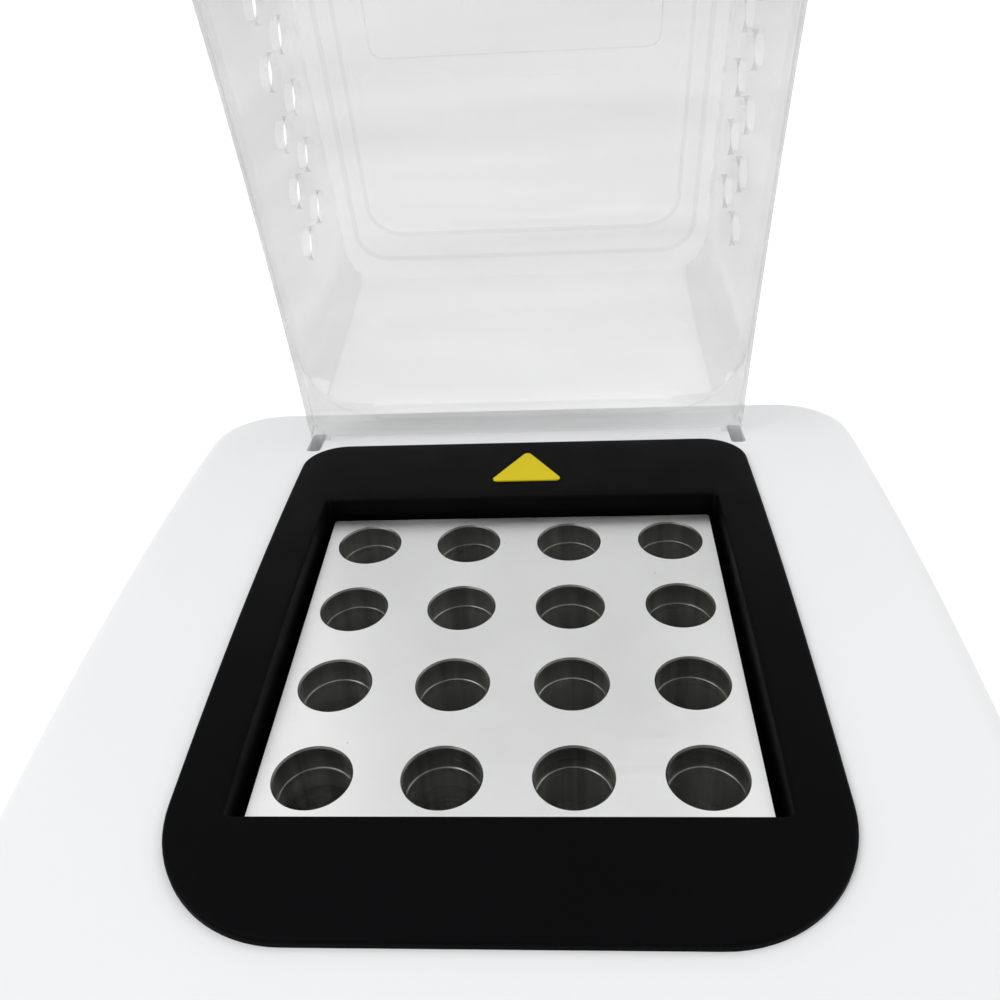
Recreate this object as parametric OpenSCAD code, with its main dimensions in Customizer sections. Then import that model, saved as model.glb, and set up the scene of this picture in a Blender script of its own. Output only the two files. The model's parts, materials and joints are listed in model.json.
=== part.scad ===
// Bench reactor that heats sealed digestion vials in a drilled aluminium block.
// The block stands in an insulated steel can inside a two-part moulded case, under a clear hinged hood.
// X runs across the case, Y runs from the front panel to the rear, and Z runs up from the table.

/* [Wells] */
// Wells along each side of the block
wells_per_side = 4; // [2:1:5]
// Distance between neighbouring wells
well_pitch = 28; // [24:1:30]
// Bore of a well, for a 16 mm vial
well_d = 16.5; // [14:0.5:20]
// Depth of a well
well_depth = 60; // [40:1:60]
// Bore of the wider mouth of a well
well_mouth_d = 16.9; // [16.8:0.1:21]
// Depth of the wider mouth
well_mouth_depth = 6.5; // [3:0.5:12]
// Chamfer around each well
well_chamfer = 0.4; // [0.2:0.1:1]

/* [Block] */
// Metal left between the outer wells' centres and the block's edge
block_margin = 12; // [11:0.5:14]
// Height of the block with its floor plate
block_h = 76; // [74:1:80]
// Height of the bezel's crown over the block's top face
block_sunk = 7.2; // [5:0.1:9]

/* [Case] */
// Width of the case
body_w = 216; // [206:1:240]
// Height of the case at its crown, with the feet
crown_h = 150; // [148:1:160]
// Radius of the top's front-to-rear arc
top_arc_r = 1000; // [900:10:2000]
// Rear face of the case, from the block's centre
rear_y = 130; // [126:1:140]
// Front face of the case, from the block's centre
front_y = -180; // [-200:1:-176]
// Where the top turns down into the control panel
panel_top_y = -120; // [-124:1:-116]
// Slope of the control panel
panel_angle = 40; // [34:1:46]
// Corner radius at the front, seen from above
front_corner_r = 28; // [15:1:32]
// Corner radius at the rear, seen from above
rear_corner_r = 24; // [12:1:28]
// Radius along the top's side edges
edge_r = 10; // [5:1:14]
// Thickness of the case's walls
wall = 3; // [2.4:0.1:3.6]
// Height at which the cover meets the base
parting_z = 58; // [56:1:62]
// Height of the feet
foot_h = 10; // [6:1:12]
// Diameter of the feet
foot_d = 20; // [16:1:24]

/* [Bezel] */
// Thickness of the bezel's flange
bezel_t = 2; // [1.5:0.1:3]
// Gap seen between the bezel and the block
bezel_gap = 2.5; // [1.5:0.1:4]
// Width of the flange at the sides of its opening
bezel_side = 12; // [10:0.5:14]
// Width of the flange at the front
bezel_front = 26.3; // [24:0.1:30]
// Width of the flange at the rear
bezel_rear = 36; // [32:0.5:38]
// Bezel corner radius at the front
bezel_front_r = 29; // [20:1:32]
// Bezel corner radius at the rear
bezel_rear_r = 13; // [8:1:18]
// Side of the triangular marker, before its corners are rounded
marker_side = 21.6; // [14:0.2:23]

/* [Lid] */
// How far the lid stands open, from shut
lid_open_angle = 75; // [70:1:80]
// Height of the hood over its lower edge
lid_h = 73; // [56:1:76]
// Thickness of the clear wall
lid_wall = 2.5; // [2:0.1:3]
// Lean of each side wall over the hood's height
lid_draft = 4.5; // [2:0.5:6]
// Diameter of the vent holes
vent_d = 10.5; // [6:0.5:12]
// Distance between vent holes in a row
vent_pitch = 18.7; // [16:0.1:22]
// Vent holes in the lower row on each side
vent_count = 6; // [3:1:6]
// Diameter of the hinge pins
hinge_pin_d = 3; // [2.5:0.1:3.4]

/* [Insulation] */
// Thickness of the insulating jacket
jacket_t = 14; // [10:1:15]
// Thickness of the can's sheet steel
can_t = 1; // [0.8:0.1:1.5]
// Thickness of the heating mat
heater_t = 4; // [2:0.5:5]
// Thickness of the plate that clamps the mat
clamp_t = 3; // [2:0.5:4]

/* [Controls] */
// Width of a key
key_w = 18; // [14:1:19]
// Height of a key along the slope
key_l = 13; // [10:1:15]
// Travel of a key
key_travel = 0.8; // [0.4:0.1:1]
// Width of the display window
window_w = 70; // [56:1:74]
// Height of the display window along the slope
window_l = 38; // [30:1:40]
// Tilt of the power rocker to each side
rocker_tilt = 10; // [6:1:12]

/* [Hidden] */
$fn = 64;

fit = 0.3;
// Keeps the flat top of the front view above the side view's arc
crown_clear = 0.3;
far = 400;

half_w = body_w / 2;
arc_z = crown_h - top_arc_r;
function top_z(y, rise = 0) = arc_z + sqrt(pow(top_arc_r + rise, 2) - y * y);

// Block and wells
block_side = (wells_per_side - 1) * well_pitch + 2 * block_margin;
block_top = crown_h + bezel_t - block_sunk;
block_bottom = block_top - block_h;
well_floor = block_top - well_depth;
well_start = -(wells_per_side - 1) * well_pitch / 2;
heater_z = block_bottom - heater_t;
clamp_z = heater_z - clamp_t;

// Bezel
opening_side = block_side + 2 * bezel_gap;
skirt_t = 2;
skirt_drop = 9;
lip_t = 1.6;
bezel_half_w = opening_side / 2 + bezel_side;
bezel_y0 = -opening_side / 2 - bezel_front;
bezel_y1 = opening_side / 2 + bezel_rear;
window_side = opening_side + 2 * skirt_t + 2 * fit;
marker_t = 0.4;
marker_r = 1.2;
marker_x = 1.8;

// Lid, drawn shut about its own hinge axis
ear_r = 3.2;
ear_t = 3.5;
ear_top = 9;
hinge_y = bezel_y1 + fit + 0.3 + ear_r;
hinge_drop = 3.9;
hinge_z = top_z(hinge_y) - hinge_drop;
pin_play = 0.06;
pin_hold = 0.03;
lid_over = 1.6;
lid_half_w = bezel_half_w + lid_over;
lid_front = bezel_y0 - lid_over - hinge_y;
lid_rim = top_z(0) + fit - hinge_z;
rim_r = top_arc_r + fit;
lid_top = lid_rim + lid_h;
shelf_top = 12;
shelf_l = 34;
hood_rear = -3;
hood_slope_run = 9;
hood_break = 7;
hood_front_lean = 4;
hood_rear_r = 26;
hood_edge_r = 7;
ear_front = hood_rear - lid_wall + 0.1;
ear_rim = top_z(hinge_y + ear_front) - hinge_z + fit;
deck_rise = 1.6;
deck_inset = 12;
deck_r = 11;
deck_rear = -29.8;
panel_w = 90;
panel_l = 46;
panel_sink = 0.6;
panel_mid = lid_front + 64.7;
tab_w = 52;
tab_l = 11;
vent_first = -52.6;
vent_low = lid_rim + 35.2;
vent_step = 15;
vent_shift = 3.7;
slot_side = 0.5;
slot_x0 = lid_half_w - ear_t - slot_side;
slot_x1 = lid_half_w + slot_side;
slot_y0 = hinge_y - ear_r - fit;
slot_y1 = hinge_y + ear_top + 0.5;
slot_z0 = hinge_z - ear_r - 0.8;
pocket_t = 2.5;
boss_t = 9;
pin_x0 = slot_x0 - pocket_t + 1;
pin_x1 = slot_x1 + boss_t - 1;

// The part's origin is under the middle of its box, with the lid open
rear_reach = hinge_y + lid_top * sin(lid_open_angle) + (hood_rear - hood_slope_run - hood_break) * cos(lid_open_angle);
shift_y = -(rear_reach + front_y) / 2;

// Control panel
panel_top_z = top_z(panel_top_y);
slope_len = (panel_top_y - front_y) / cos(panel_angle);
panel_mid_l = -slope_len / 2;
overlay_w = 164;
overlay_l = 62;
overlay_t = 0.8;
overlay_r = 6;
window_x = -36;
key_xs = [24, 48];
key_ys = [panel_mid_l + 12, panel_mid_l - 12];
light_x = 70;
light_step = 11;
light_d = 3;
key_proud = 1.4;
key_flange = 1.5;
key_flange_t = 1;
key_root = -wall - fit - key_flange_t;
board_front = -12;
board_t = 1.6;
display_board_w = 152;
display_pillar_x = 72;
display_pillar_y = window_l / 2 + 5;
display_board_l = 2 * display_pillar_y + 8;

// Case fixings
foot_x = half_w - 26;
foot_y = [front_y + 30, rear_y - 26];
case_screw_x = half_w - wall - 9;
case_screw_y = [front_y + 22, rear_y - 17];
post_r = 5;
screw_r = 1.9;
screw_hole_r = 2.05;
floor_z = foot_h + wall;
case_screw_depth = 22;
lip_w = 1.8;

// Can and supports
can_side = block_side + 2 * jacket_t + 2 * can_t + 2 * fit;
can_floor = floor_z + 17;
can_top = top_z(can_side / 2) - wall - 4;
post_xy = 0.78 * block_side / 2;
clamp_xy = well_pitch;
clamp_screw_r = 2;
probe_r = 2.5;
probe_z = (block_bottom + well_floor) / 2;
probe_tail = -can_side / 2 - 14;
cutout_r = 8;
cutout_h = 10;

// Boards and power parts
control_w = 150;
control_l = 74;
control_y = -can_side / 2 - 11 - control_l / 2;
control_z = floor_z + 8;
control_top = control_z + board_t;
inlet_x = 62;
inlet_z = 34;
switch_x = 16;
inlet_back = rear_y - 26;
pins_back = rear_y - 34;
drawer_back = rear_y - 18;
fuse_ys = [rear_y - 13.5, rear_y - 5.5];

module plan_outline(half, y0, y1, r0, r1) {
    polygon([[-half + r0, y0], [half - r0, y0], [half, y0 + r0], [half, y1 - r1],
             [half - r1, y1], [-half + r1, y1], [-half, y1 - r1], [-half, y0 + r0]]);
    for (s = [-1, 1]) {
        translate([s * (half - r0), y0 + r0]) circle(r0);
        translate([s * (half - r1), y1 - r1]) circle(r1);
    }
}

module centred_plate(w, l, r) {
    plan_outline(w / 2, -l / 2, l / 2, r, r);
}

// Turns a drawing in Y and Z into a solid across X
module across_x(width) {
    rotate([90, 0, 90]) linear_extrude(width, center = true) children();
}

// Turns a drawing in X and Z into a solid along Y
module along_y(length) {
    rotate([90, 0, 0]) linear_extrude(length, center = true) children();
}

module rod_x(x0, x1, r) {
    translate([x0, 0, 0]) rotate([0, 90, 0]) cylinder(h = x1 - x0, r = r);
}

module rod_y(y0, y1, r) {
    translate([0, y0, 0]) rotate([-90, 0, 0]) cylinder(h = y1 - y0, r = r);
}

module four(x, ys) {
    for (s = [-1, 1], y = ys) translate([s * x, y, 0]) children();
}

module placed() {
    translate([0, shift_y, 0]) children();
}

// A round wire that turns square corners
module wire(points, d) {
    for (i = [0 : len(points) - 2]) {
        a = points[i];
        b = points[i + 1];
        run = b - a;
        length = norm(run);
        tilt = acos(run[2] / length);
        turn = atan2(run[1], run[0]);
        translate(a) rotate([0, tilt, turn]) cylinder(h = length, d = d, $fn = 24);
        if (i > 0) translate(a) sphere(d = d, $fn = 24);
    }
}

// Moves from the case's frame to the control panel's own frame, whose Z points out of the panel
module on_panel() {
    translate([0, panel_top_y, panel_top_z]) rotate([panel_angle, 0, 0]) children();
}

// Turns the lid about its hinge axis, from shut to where it stands
module on_lid() {
    translate([0, hinge_y, hinge_z]) rotate([-lid_open_angle, 0, 0]) children();
}

// The case's side view: an arc on top and a sloped panel, running past the front and the rear
module case_side(inset) {
    z_at = panel_top_z - inset / cos(panel_angle);
    over = crown_h + 20;
    past_front = front_y - 10;
    past_rear = rear_y + 10;
    intersection() {
        translate([0, arc_z]) circle(top_arc_r - inset, $fn = 720);
        polygon([[past_rear, 0], [past_rear, over], [panel_top_y + (over - z_at) / tan(panel_angle), over],
                 [past_front, z_at + (past_front - panel_top_y) * tan(panel_angle)], [past_front, 0]]);
    }
}

// The case's front view: upright sides and rounded upper edges
module case_front(inset) {
    half = half_w - inset;
    r = edge_r - inset;
    top = crown_h + crown_clear - inset;
    polygon([[-half, 0], [half, 0], [half, top - r], [half - r, top], [-half + r, top], [-half, top - r]]);
    for (s = [-1, 1]) translate([s * (half - r), top - r]) circle(r);
}

module case_plan(inset) {
    plan_outline(half_w - inset, front_y + inset, rear_y - inset, front_corner_r - inset, rear_corner_r - inset);
}

module case_form(inset) {
    intersection() {
        across_x(body_w + 2) case_side(inset);
        translate([0, (front_y + rear_y) / 2, 0]) along_y(rear_y - front_y + 2) case_front(inset);
        linear_extrude(crown_h + 1) case_plan(inset);
    }
}

module slab(z0, z1) {
    translate([-far, -far, z0]) cube([2 * far, 2 * far, z1 - z0]);
}

// Openings in the control panel's wall
module panel_openings() {
    on_panel() {
        translate([0, panel_mid_l, -overlay_t]) linear_extrude(5) centred_plate(overlay_w, overlay_l, overlay_r);
        translate([window_x, panel_mid_l, -wall - 2]) linear_extrude(wall + 4)
            centred_plate(window_w + 2 * fit, window_l + 2 * fit, 2);
        for (x = key_xs, y = key_ys) translate([x, y, -wall - 2]) linear_extrude(wall + 4)
            centred_plate(key_w + 2 * fit, key_l + 2 * fit, 3);
        for (i = [-1 : 1]) translate([light_x, panel_mid_l + i * light_step, -wall - 2])
            cylinder(h = wall + 4, d = light_d + 2 * fit, $fn = 32);
    }
}

module hinge_pocket_block() {
    for (s = [-1, 1]) translate([s > 0 ? slot_x0 - pocket_t : -slot_x1 - boss_t, slot_y0 - pocket_t, slot_z0 - pocket_t])
        cube([slot_x1 - slot_x0 + pocket_t + boss_t, slot_y1 - slot_y0 + 2 * pocket_t, crown_h - slot_z0]);
}

module hinge_pocket_void() {
    for (s = [-1, 1]) translate([s > 0 ? slot_x0 : -slot_x1, slot_y0, slot_z0])
        cube([slot_x1 - slot_x0, slot_y1 - slot_y0, crown_h]);
}

module top_cover() {
    color("whitesmoke") placed() difference() {
        intersection() {
            case_form(0);
            slab(parting_z, crown_h + 1);
            union() {
                difference() {
                    slab(0, crown_h + 1);
                    case_form(wall);
                }
                hinge_pocket_block();
                // Screw posts, each tied to its side wall by a rib
                four(case_screw_x, case_screw_y) cylinder(h = parting_z + 40, r = post_r);
                for (s = [-1, 1], y = case_screw_y) translate([s * (half_w - 6), y, (parting_z + 4 + parting_z + 40) / 2])
                    cube([12, 2.4, 36], center = true);
                // Pillars for the display board
                on_panel() for (s = [-1, 1], t = [-1, 1])
                    translate([s * display_pillar_x, panel_mid_l + t * display_pillar_y, board_front])
                        cylinder(h = -board_front - wall / 2, r = 3.2);
            }
        }
        hinge_pocket_void();
        for (s = [-1, 1]) translate([0, hinge_y, hinge_z])
            rod_x(s > 0 ? pin_x0 : -pin_x1, s > 0 ? pin_x1 : -pin_x0, hinge_pin_d / 2 + pin_hold);
        translate([0, 0, crown_h / 2]) linear_extrude(crown_h) centred_plate(window_side, window_side, 3);
        panel_openings();
        four(case_screw_x, case_screw_y) translate([0, 0, parting_z - 1])
            cylinder(h = case_screw_depth + 3, r = screw_hole_r);
        on_panel() for (s = [-1, 1], t = [-1, 1])
            translate([s * display_pillar_x, panel_mid_l + t * display_pillar_y, board_front - 1])
                cylinder(h = 8, r = 1.3);
    }
}

module vent_slots(count, step, size, axis) {
    for (i = [0 : count - 1]) translate(axis == "y" ? [0, (i - (count - 1) / 2) * step, 0]
                                                    : [(i - (count - 1) / 2) * step, 0, 0])
        cube(size, center = true);
}

module base_tray() {
    color("whitesmoke") placed() difference() {
        union() {
            difference() {
                intersection() {
                    case_form(0);
                    slab(foot_h, parting_z);
                }
                translate([0, 0, floor_z]) linear_extrude(crown_h) case_plan(wall);
            }
            // Lip that locates the cover
            translate([0, 0, parting_z - 8]) linear_extrude(11) difference() {
                case_plan(wall + fit);
                case_plan(wall + fit + lip_w);
            }
            translate([0, 0, parting_z - 8]) linear_extrude(7.5) difference() {
                case_plan(wall / 2);
                case_plan(wall + fit + lip_w);
            }
            four(case_screw_x, case_screw_y) translate([0, 0, foot_h]) cylinder(h = parting_z - foot_h, r = post_r);
            four(foot_x, foot_y) translate([0, 0, foot_h]) cylinder(h = wall + 9, r = 4.5);
        }
        four(case_screw_x, case_screw_y) translate([0, 0, foot_h - 1]) {
            cylinder(h = parting_z, r = screw_r + 0.3);
            cylinder(h = 7, r = 3.9);
        }
        four(foot_x, foot_y) translate([0, 0, foot_h - 1]) cylinder(h = 11, r = screw_hole_r);
        // Cooling slots in the sides, the rear and the floor
        for (s = [-1, 1]) translate([s * half_w, -20, 34]) vent_slots(12, 9, [3 * wall, 3.2, 22], "y");
        translate([-52, rear_y, 34]) vent_slots(8, 8, [3.2, 3 * wall, 22], "x");
        translate([0, inlet_back, foot_h]) vent_slots(9, 9, [3.2, 24, 3 * wall], "x");
        translate([0, -38, foot_h]) vent_slots(7, 12, [3.2, 40, 3 * wall], "x");
        translate([inlet_x, rear_y, inlet_z]) cube([28.6, 3 * wall, 30.6], center = true);
        for (s = [-1, 1]) translate([inlet_x + s * 20, 0, inlet_z]) rod_y(rear_y - 4, rear_y + 1, 1.6);
        translate([switch_x, rear_y, inlet_z]) cube([13.4, 3 * wall, 19.4], center = true);
    }
}

module rubber_feet() {
    color([0.12, 0.12, 0.13]) placed() four(foot_x, foot_y) difference() {
        union() {
            cylinder(h = foot_h, d = foot_d - 3);
            translate([0, 0, 1]) cylinder(h = foot_h - 1, d1 = foot_d - 1, d2 = foot_d);
        }
        translate([0, 0, -1]) cylinder(h = 5.5, r = 4.6);
        translate([0, 0, -1]) cylinder(h = foot_h + 2, r = screw_hole_r + 0.2);
    }
}

module foot_screws() {
    color("silver") placed() four(foot_x, foot_y) translate([0, 0, 2]) difference() {
        union() {
            cylinder(h = 2.5, r = 3.8);
            cylinder(h = foot_h + 6, r = screw_r);
        }
        for (a = [0, 90]) rotate([0, 0, a]) cube([4.4, 0.9, 2.4], center = true);
    }
}

module case_screws() {
    color("silver") placed() four(case_screw_x, case_screw_y) translate([0, 0, foot_h + 3]) difference() {
        union() {
            cylinder(h = 3, r = 3.6);
            cylinder(h = parting_z - foot_h - 3 + case_screw_depth - 2, r = screw_r);
        }
        for (a = [0, 90]) rotate([0, 0, a]) cube([4.4, 0.9, 2.4], center = true);
    }
}

module top_shell(low, high) {
    across_x(body_w) difference() {
        translate([0, arc_z]) circle(top_arc_r + high, $fn = 720);
        translate([0, arc_z]) circle(top_arc_r + low, $fn = 720);
    }
}

module block_bezel() {
    color([0.09, 0.09, 0.1]) placed() difference() {
        union() {
            intersection() {
                linear_extrude(crown_h + 10) plan_outline(bezel_half_w, bezel_y0, bezel_y1, bezel_front_r, bezel_rear_r);
                top_shell(0, bezel_t);
            }
            intersection() {
                translate([0, 0, block_top - skirt_drop + bezel_t])
                    linear_extrude(crown_h) centred_plate(opening_side + 2 * skirt_t, opening_side + 2 * skirt_t, 2.5);
                across_x(body_w) translate([0, arc_z]) circle(top_arc_r + bezel_t, $fn = 720);
            }
        }
        translate([0, 0, block_top - skirt_drop + bezel_t + lip_t])
            linear_extrude(crown_h) centred_plate(opening_side, opening_side, 1.6);
        linear_extrude(2 * crown_h) centred_plate(block_side + 2 * fit, block_side + 2 * fit, 1);
    }
}

// Triangle with rounded corners, its apex toward the rear
module rounded_triangle(side, r) {
    reach = side / sqrt(3) - 2 * r;
    polygon([for (a = [90, 210, 330], b = [a - 60, a + 60]) [reach * cos(a) + r * cos(b), reach * sin(a) + r * sin(b)]]);
    for (a = [90, 210, 330]) translate([reach * cos(a), reach * sin(a)]) circle(r, $fn = 32);
}

module surface_marker() {
    middle = bezel_y1 - bezel_rear / 2 - (marker_side / sqrt(12) - marker_r) / 2;
    color([0.93, 0.85, 0.1]) placed() intersection() {
        translate([marker_x, middle, block_top]) linear_extrude(20) rounded_triangle(marker_side, marker_r);
        top_shell(bezel_t, bezel_t + marker_t);
    }
}

module well() {
    translate([0, 0, well_floor - 1]) cylinder(h = well_depth + 2, d = well_d);
    translate([0, 0, block_top - well_mouth_depth]) cylinder(h = well_mouth_depth + 1, d = well_mouth_d);
    translate([0, 0, block_top - well_chamfer])
        cylinder(h = well_chamfer + 0.1, d1 = well_mouth_d, d2 = well_mouth_d + 2 * well_chamfer + 0.2);
}

module heating_block() {
    color("gainsboro") placed() difference() {
        translate([0, 0, well_floor]) linear_extrude(well_depth) centred_plate(block_side, block_side, 0.8);
        for (i = [0 : wells_per_side - 1], j = [0 : wells_per_side - 1])
            translate([well_start + i * well_pitch, well_start + j * well_pitch, 0]) well();
        four(clamp_xy, [-clamp_xy, clamp_xy]) translate([0, 0, well_floor - 1]) cylinder(h = 12, r = clamp_screw_r + 0.1);
    }
}

// Plate that closes the wells from below and holds the probe
module block_floor() {
    color("gainsboro") placed() difference() {
        translate([0, 0, block_bottom]) linear_extrude(well_floor - block_bottom) centred_plate(block_side, block_side, 0.8);
        translate([0, 0, probe_z]) rod_y(-block_side / 2 - 1, -8, probe_r + 0.1);
        four(clamp_xy, [-clamp_xy, clamp_xy]) translate([0, 0, block_bottom - 1])
            cylinder(h = block_h, r = clamp_screw_r + 0.3);
    }
}

module plate_stack(z, t, side, centre_r) {
    translate([0, 0, z]) linear_extrude(t) difference() {
        centred_plate(side, side, 3);
        four(clamp_xy, [-clamp_xy, clamp_xy]) circle(clamp_screw_r + 0.3);
        if (centre_r > 0) circle(centre_r);
    }
}

module heater_mat() {
    color([0.72, 0.6, 0.36]) placed() plate_stack(heater_z, heater_t, block_side - 4, 0);
}

module clamp_plate() {
    color("slategray") placed() plate_stack(clamp_z, clamp_t, block_side - 2, 0);
}

module clamp_screws() {
    color("silver") placed() four(clamp_xy, [-clamp_xy, clamp_xy]) translate([0, 0, clamp_z - 3]) {
        cylinder(h = 3, r = 4, $fn = 6);
        cylinder(h = well_floor + 9 - clamp_z + 3, r = clamp_screw_r);
    }
}

module temperature_probe() {
    color("silver") placed() translate([0, 0, probe_z]) {
        rod_y(probe_tail, -9, probe_r);
        rod_y(probe_tail, probe_tail + 9, 4);
    }
}

module thermal_cutout() {
    color([0.2, 0.2, 0.22]) placed() translate([0, 0, clamp_z - cutout_h]) {
        cylinder(h = cutout_h, r = cutout_r);
        for (s = [-1, 1]) translate([s * 4, 0, -3]) cube([0.8, 5, 8], center = true);
    }
}

module block_posts() {
    color("silver") placed() four(post_xy, [-post_xy, post_xy]) translate([0, 0, can_floor + can_t])
        cylinder(h = clamp_z - can_floor - can_t, r = 4);
}

module insulation_floor() {
    color("ivory") placed() difference() {
        translate([0, 0, can_floor + can_t]) linear_extrude(clamp_z - can_floor - can_t)
            centred_plate(can_side - 2 * can_t - 2 * fit, can_side - 2 * can_t - 2 * fit, 2);
        four(post_xy, [-post_xy, post_xy]) translate([0, 0, can_floor]) cylinder(h = clamp_z, r = 4 + fit);
        four(clamp_xy, [-clamp_xy, clamp_xy]) translate([0, 0, clamp_z - 4]) cylinder(h = 5, r = 5.2);
        translate([0, 0, clamp_z - cutout_h - 8]) cylinder(h = cutout_h + 9, r = cutout_r + 1);
    }
}

module insulation_jacket() {
    inner = block_side + 2 * fit;
    lead_hole = 3;
    color("ivory") placed() difference() {
        translate([0, 0, clamp_z]) linear_extrude(block_top - skirt_drop + bezel_t - 1 - clamp_z) difference() {
            centred_plate(can_side - 2 * can_t - 2 * fit, can_side - 2 * can_t - 2 * fit, 2);
            centred_plate(inner, inner, 1);
        }
        translate([0, 0, probe_z]) rod_y(-can_side, 0, probe_r + fit);
        for (s = [-1, 1]) translate([s * 12, 0, heater_z + heater_t / 2]) rod_y(-can_side, 0, lead_hole / 2 + fit);
    }
}

module block_can() {
    color([0.75, 0.77, 0.78]) placed() difference() {
        translate([0, 0, can_floor]) linear_extrude(can_top - can_floor) centred_plate(can_side, can_side, 3);
        translate([0, 0, can_floor + can_t]) linear_extrude(crown_h)
            centred_plate(can_side - 2 * can_t, can_side - 2 * can_t, 2);
        translate([0, 0, probe_z]) rod_y(-can_side, 0, probe_r + 1);
        for (s = [-1, 1]) translate([s * 12, 0, heater_z + heater_t / 2]) rod_y(-can_side, 0, 3);
    }
}

module can_pillars() {
    xy = can_side / 2 - 12;
    color("silver") placed() four(xy, [-xy, xy]) translate([0, 0, floor_z]) cylinder(h = can_floor - floor_z, r = 5);
}

// The hood's outer form when inset is 0, and its hollow when inset is the wall
module hood_form(inset) {
    low = lid_half_w - inset;
    high = lid_half_w - lid_draft - inset;
    r = hood_edge_r - inset;
    top = lid_top - inset;
    rear = hood_rear - inset;
    front = lid_front + inset;
    intersection() {
        across_x(2 * far) polygon([[rear, -20], [rear, shelf_top - inset], [rear - hood_slope_run, top - hood_break],
                                   [rear - hood_slope_run - hood_break, top], [front + hood_front_lean + r, top],
                                   [front + hood_front_lean, top - r], [front, lid_rim], [front, -20]]);
        along_y(2 * far) union() {
            polygon([[-low, -20], [low, -20], [low, lid_rim], [high, top - r], [high - r, top], [-high + r, top],
                     [-high, top - r], [-low, lid_rim]]);
            for (s = [-1, 1]) translate([s * (high - r), top - r]) circle(r);
        }
        linear_extrude(2 * lid_top, center = true)
            plan_outline(low, front, rear, bezel_front_r + lid_over - inset, hood_rear_r - inset);
    }
}

// Low shelf that joins the hood to its hinge ears
module shelf_form(inset) {
    translate([-lid_half_w + inset, hood_rear - shelf_l, -20])
        cube([2 * (lid_half_w - inset), shelf_l - inset, shelf_top - inset + 20]);
}

// Raised deck on the hood's top, hollow like the rest
module deck_form(inset) {
    y0 = lid_front + hood_front_lean + deck_inset;
    translate([0, 0, lid_top - lid_wall - 1]) linear_extrude(lid_wall + 1 + deck_rise - inset)
        plan_outline(lid_half_w - lid_draft - deck_inset - inset, y0 + inset, deck_rear - inset, deck_r - inset, deck_r - inset);
}

module vent_holes() {
    for (row = [0, 1], i = [0 : vent_count - 1 - row])
        translate([0, vent_first - i * vent_pitch - row * vent_shift, vent_low + row * vent_step])
            rod_x(-far, far, vent_d / 2);
}

// Ear that carries the hinge pin, with a web up to the shelf's rear wall
module lid_ear() {
    difference() {
        translate([lid_half_w - ear_t / 2, 0, 0]) across_x(ear_t) {
            circle(ear_r);
            polygon([[-ear_r, 0], [-ear_r, ear_rim], [ear_front, ear_rim], [ear_front, ear_top],
                     [hood_rear + 1, ear_top], [ear_r, 0]]);
        }
        rod_x(0, far, hinge_pin_d / 2 + pin_play);
    }
}

module lid() {
    color([0.85, 0.9, 0.95, 0.4]) placed() on_lid() {
        difference() {
            union() {
                hood_form(0);
                shelf_form(0);
                deck_form(0);
                // Finger tab at the front
                translate([-tab_w / 2, lid_front - tab_l, lid_rim - 6]) linear_extrude(20)
                    centred_tab(tab_w, tab_l + 3, 6);
            }
            hood_form(lid_wall);
            shelf_form(lid_wall);
            deck_form(lid_wall);
            vent_holes();
            // Shallow rectangle sunk in the deck
            translate([0, panel_mid, lid_top + deck_rise - panel_sink])
                linear_extrude(5) centred_plate(panel_w, panel_l, 4);
            translate([0, -hinge_y, -hinge_z]) rim_cut();
            tab_relief();
        }
        for (s = [0, 1]) mirror([s, 0, 0]) lid_ear();
    }
}

module centred_tab(w, l, r) {
    translate([w / 2, l / 2]) plan_outline(w / 2, -l / 2, l / 2, r, 0.5);
}

// Cuts the rim to follow the case, with a rebate over the bezel's flange, in the case's frame
module rim_cut() {
    across_x(2 * far) translate([0, arc_z]) circle(rim_r, $fn = 720);
    intersection() {
        linear_extrude(2 * crown_h)
            plan_outline(bezel_half_w + fit, bezel_y0 - fit, hinge_y, bezel_front_r + fit, bezel_rear_r + fit);
        across_x(2 * far) translate([0, arc_z]) circle(rim_r + bezel_t, $fn = 720);
    }
}

// Takes the tab down to a thin tongue above the bezel's height
module tab_relief() {
    translate([0, -hinge_y, arc_z - hinge_z]) across_x(tab_w + 2) difference() {
        circle(rim_r + 20, $fn = 720);
        difference() {
            circle(rim_r + bezel_t + lid_wall, $fn = 720);
            circle(rim_r + bezel_t, $fn = 720);
        }
        translate([lid_front + hinge_y, 0]) square([2 * far, 2 * top_arc_r]);
    }
}

module hinge_pins() {
    color("silver") placed() translate([0, hinge_y, hinge_z])
        for (s = [-1, 1]) rod_x(s > 0 ? pin_x0 : -pin_x1, s > 0 ? pin_x1 : -pin_x0, hinge_pin_d / 2);
}

module panel_overlay() {
    color([0.2, 0.22, 0.25]) placed() on_panel() translate([0, panel_mid_l, -overlay_t]) linear_extrude(overlay_t - 0.05)
        difference() {
            centred_plate(overlay_w - 2 * fit, overlay_l - 2 * fit, overlay_r - fit);
            translate([window_x, 0]) centred_plate(window_w + 2 * fit, window_l + 2 * fit, 2);
            for (x = key_xs, y = key_ys) translate([x, y - panel_mid_l]) centred_plate(key_w + 2 * fit, key_l + 2 * fit, 3);
            for (i = [-1 : 1]) translate([light_x, i * light_step]) circle(light_d / 2 + fit, $fn = 32);
        }
}

module display_window() {
    color([0.6, 0.7, 0.75, 0.5]) placed() on_panel() translate([window_x, panel_mid_l, -4]) linear_extrude(3.8)
        centred_plate(window_w, window_l, 1.8);
}

module lcd_module() {
    color([0.35, 0.45, 0.3]) placed() on_panel() translate([window_x, panel_mid_l, board_front]) {
        linear_extrude(-4 - board_front) centred_plate(window_w + 2, window_l, 1);
        linear_extrude(1.6) centred_plate(window_w + 6, window_l + 2, 1);
    }
}

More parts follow.
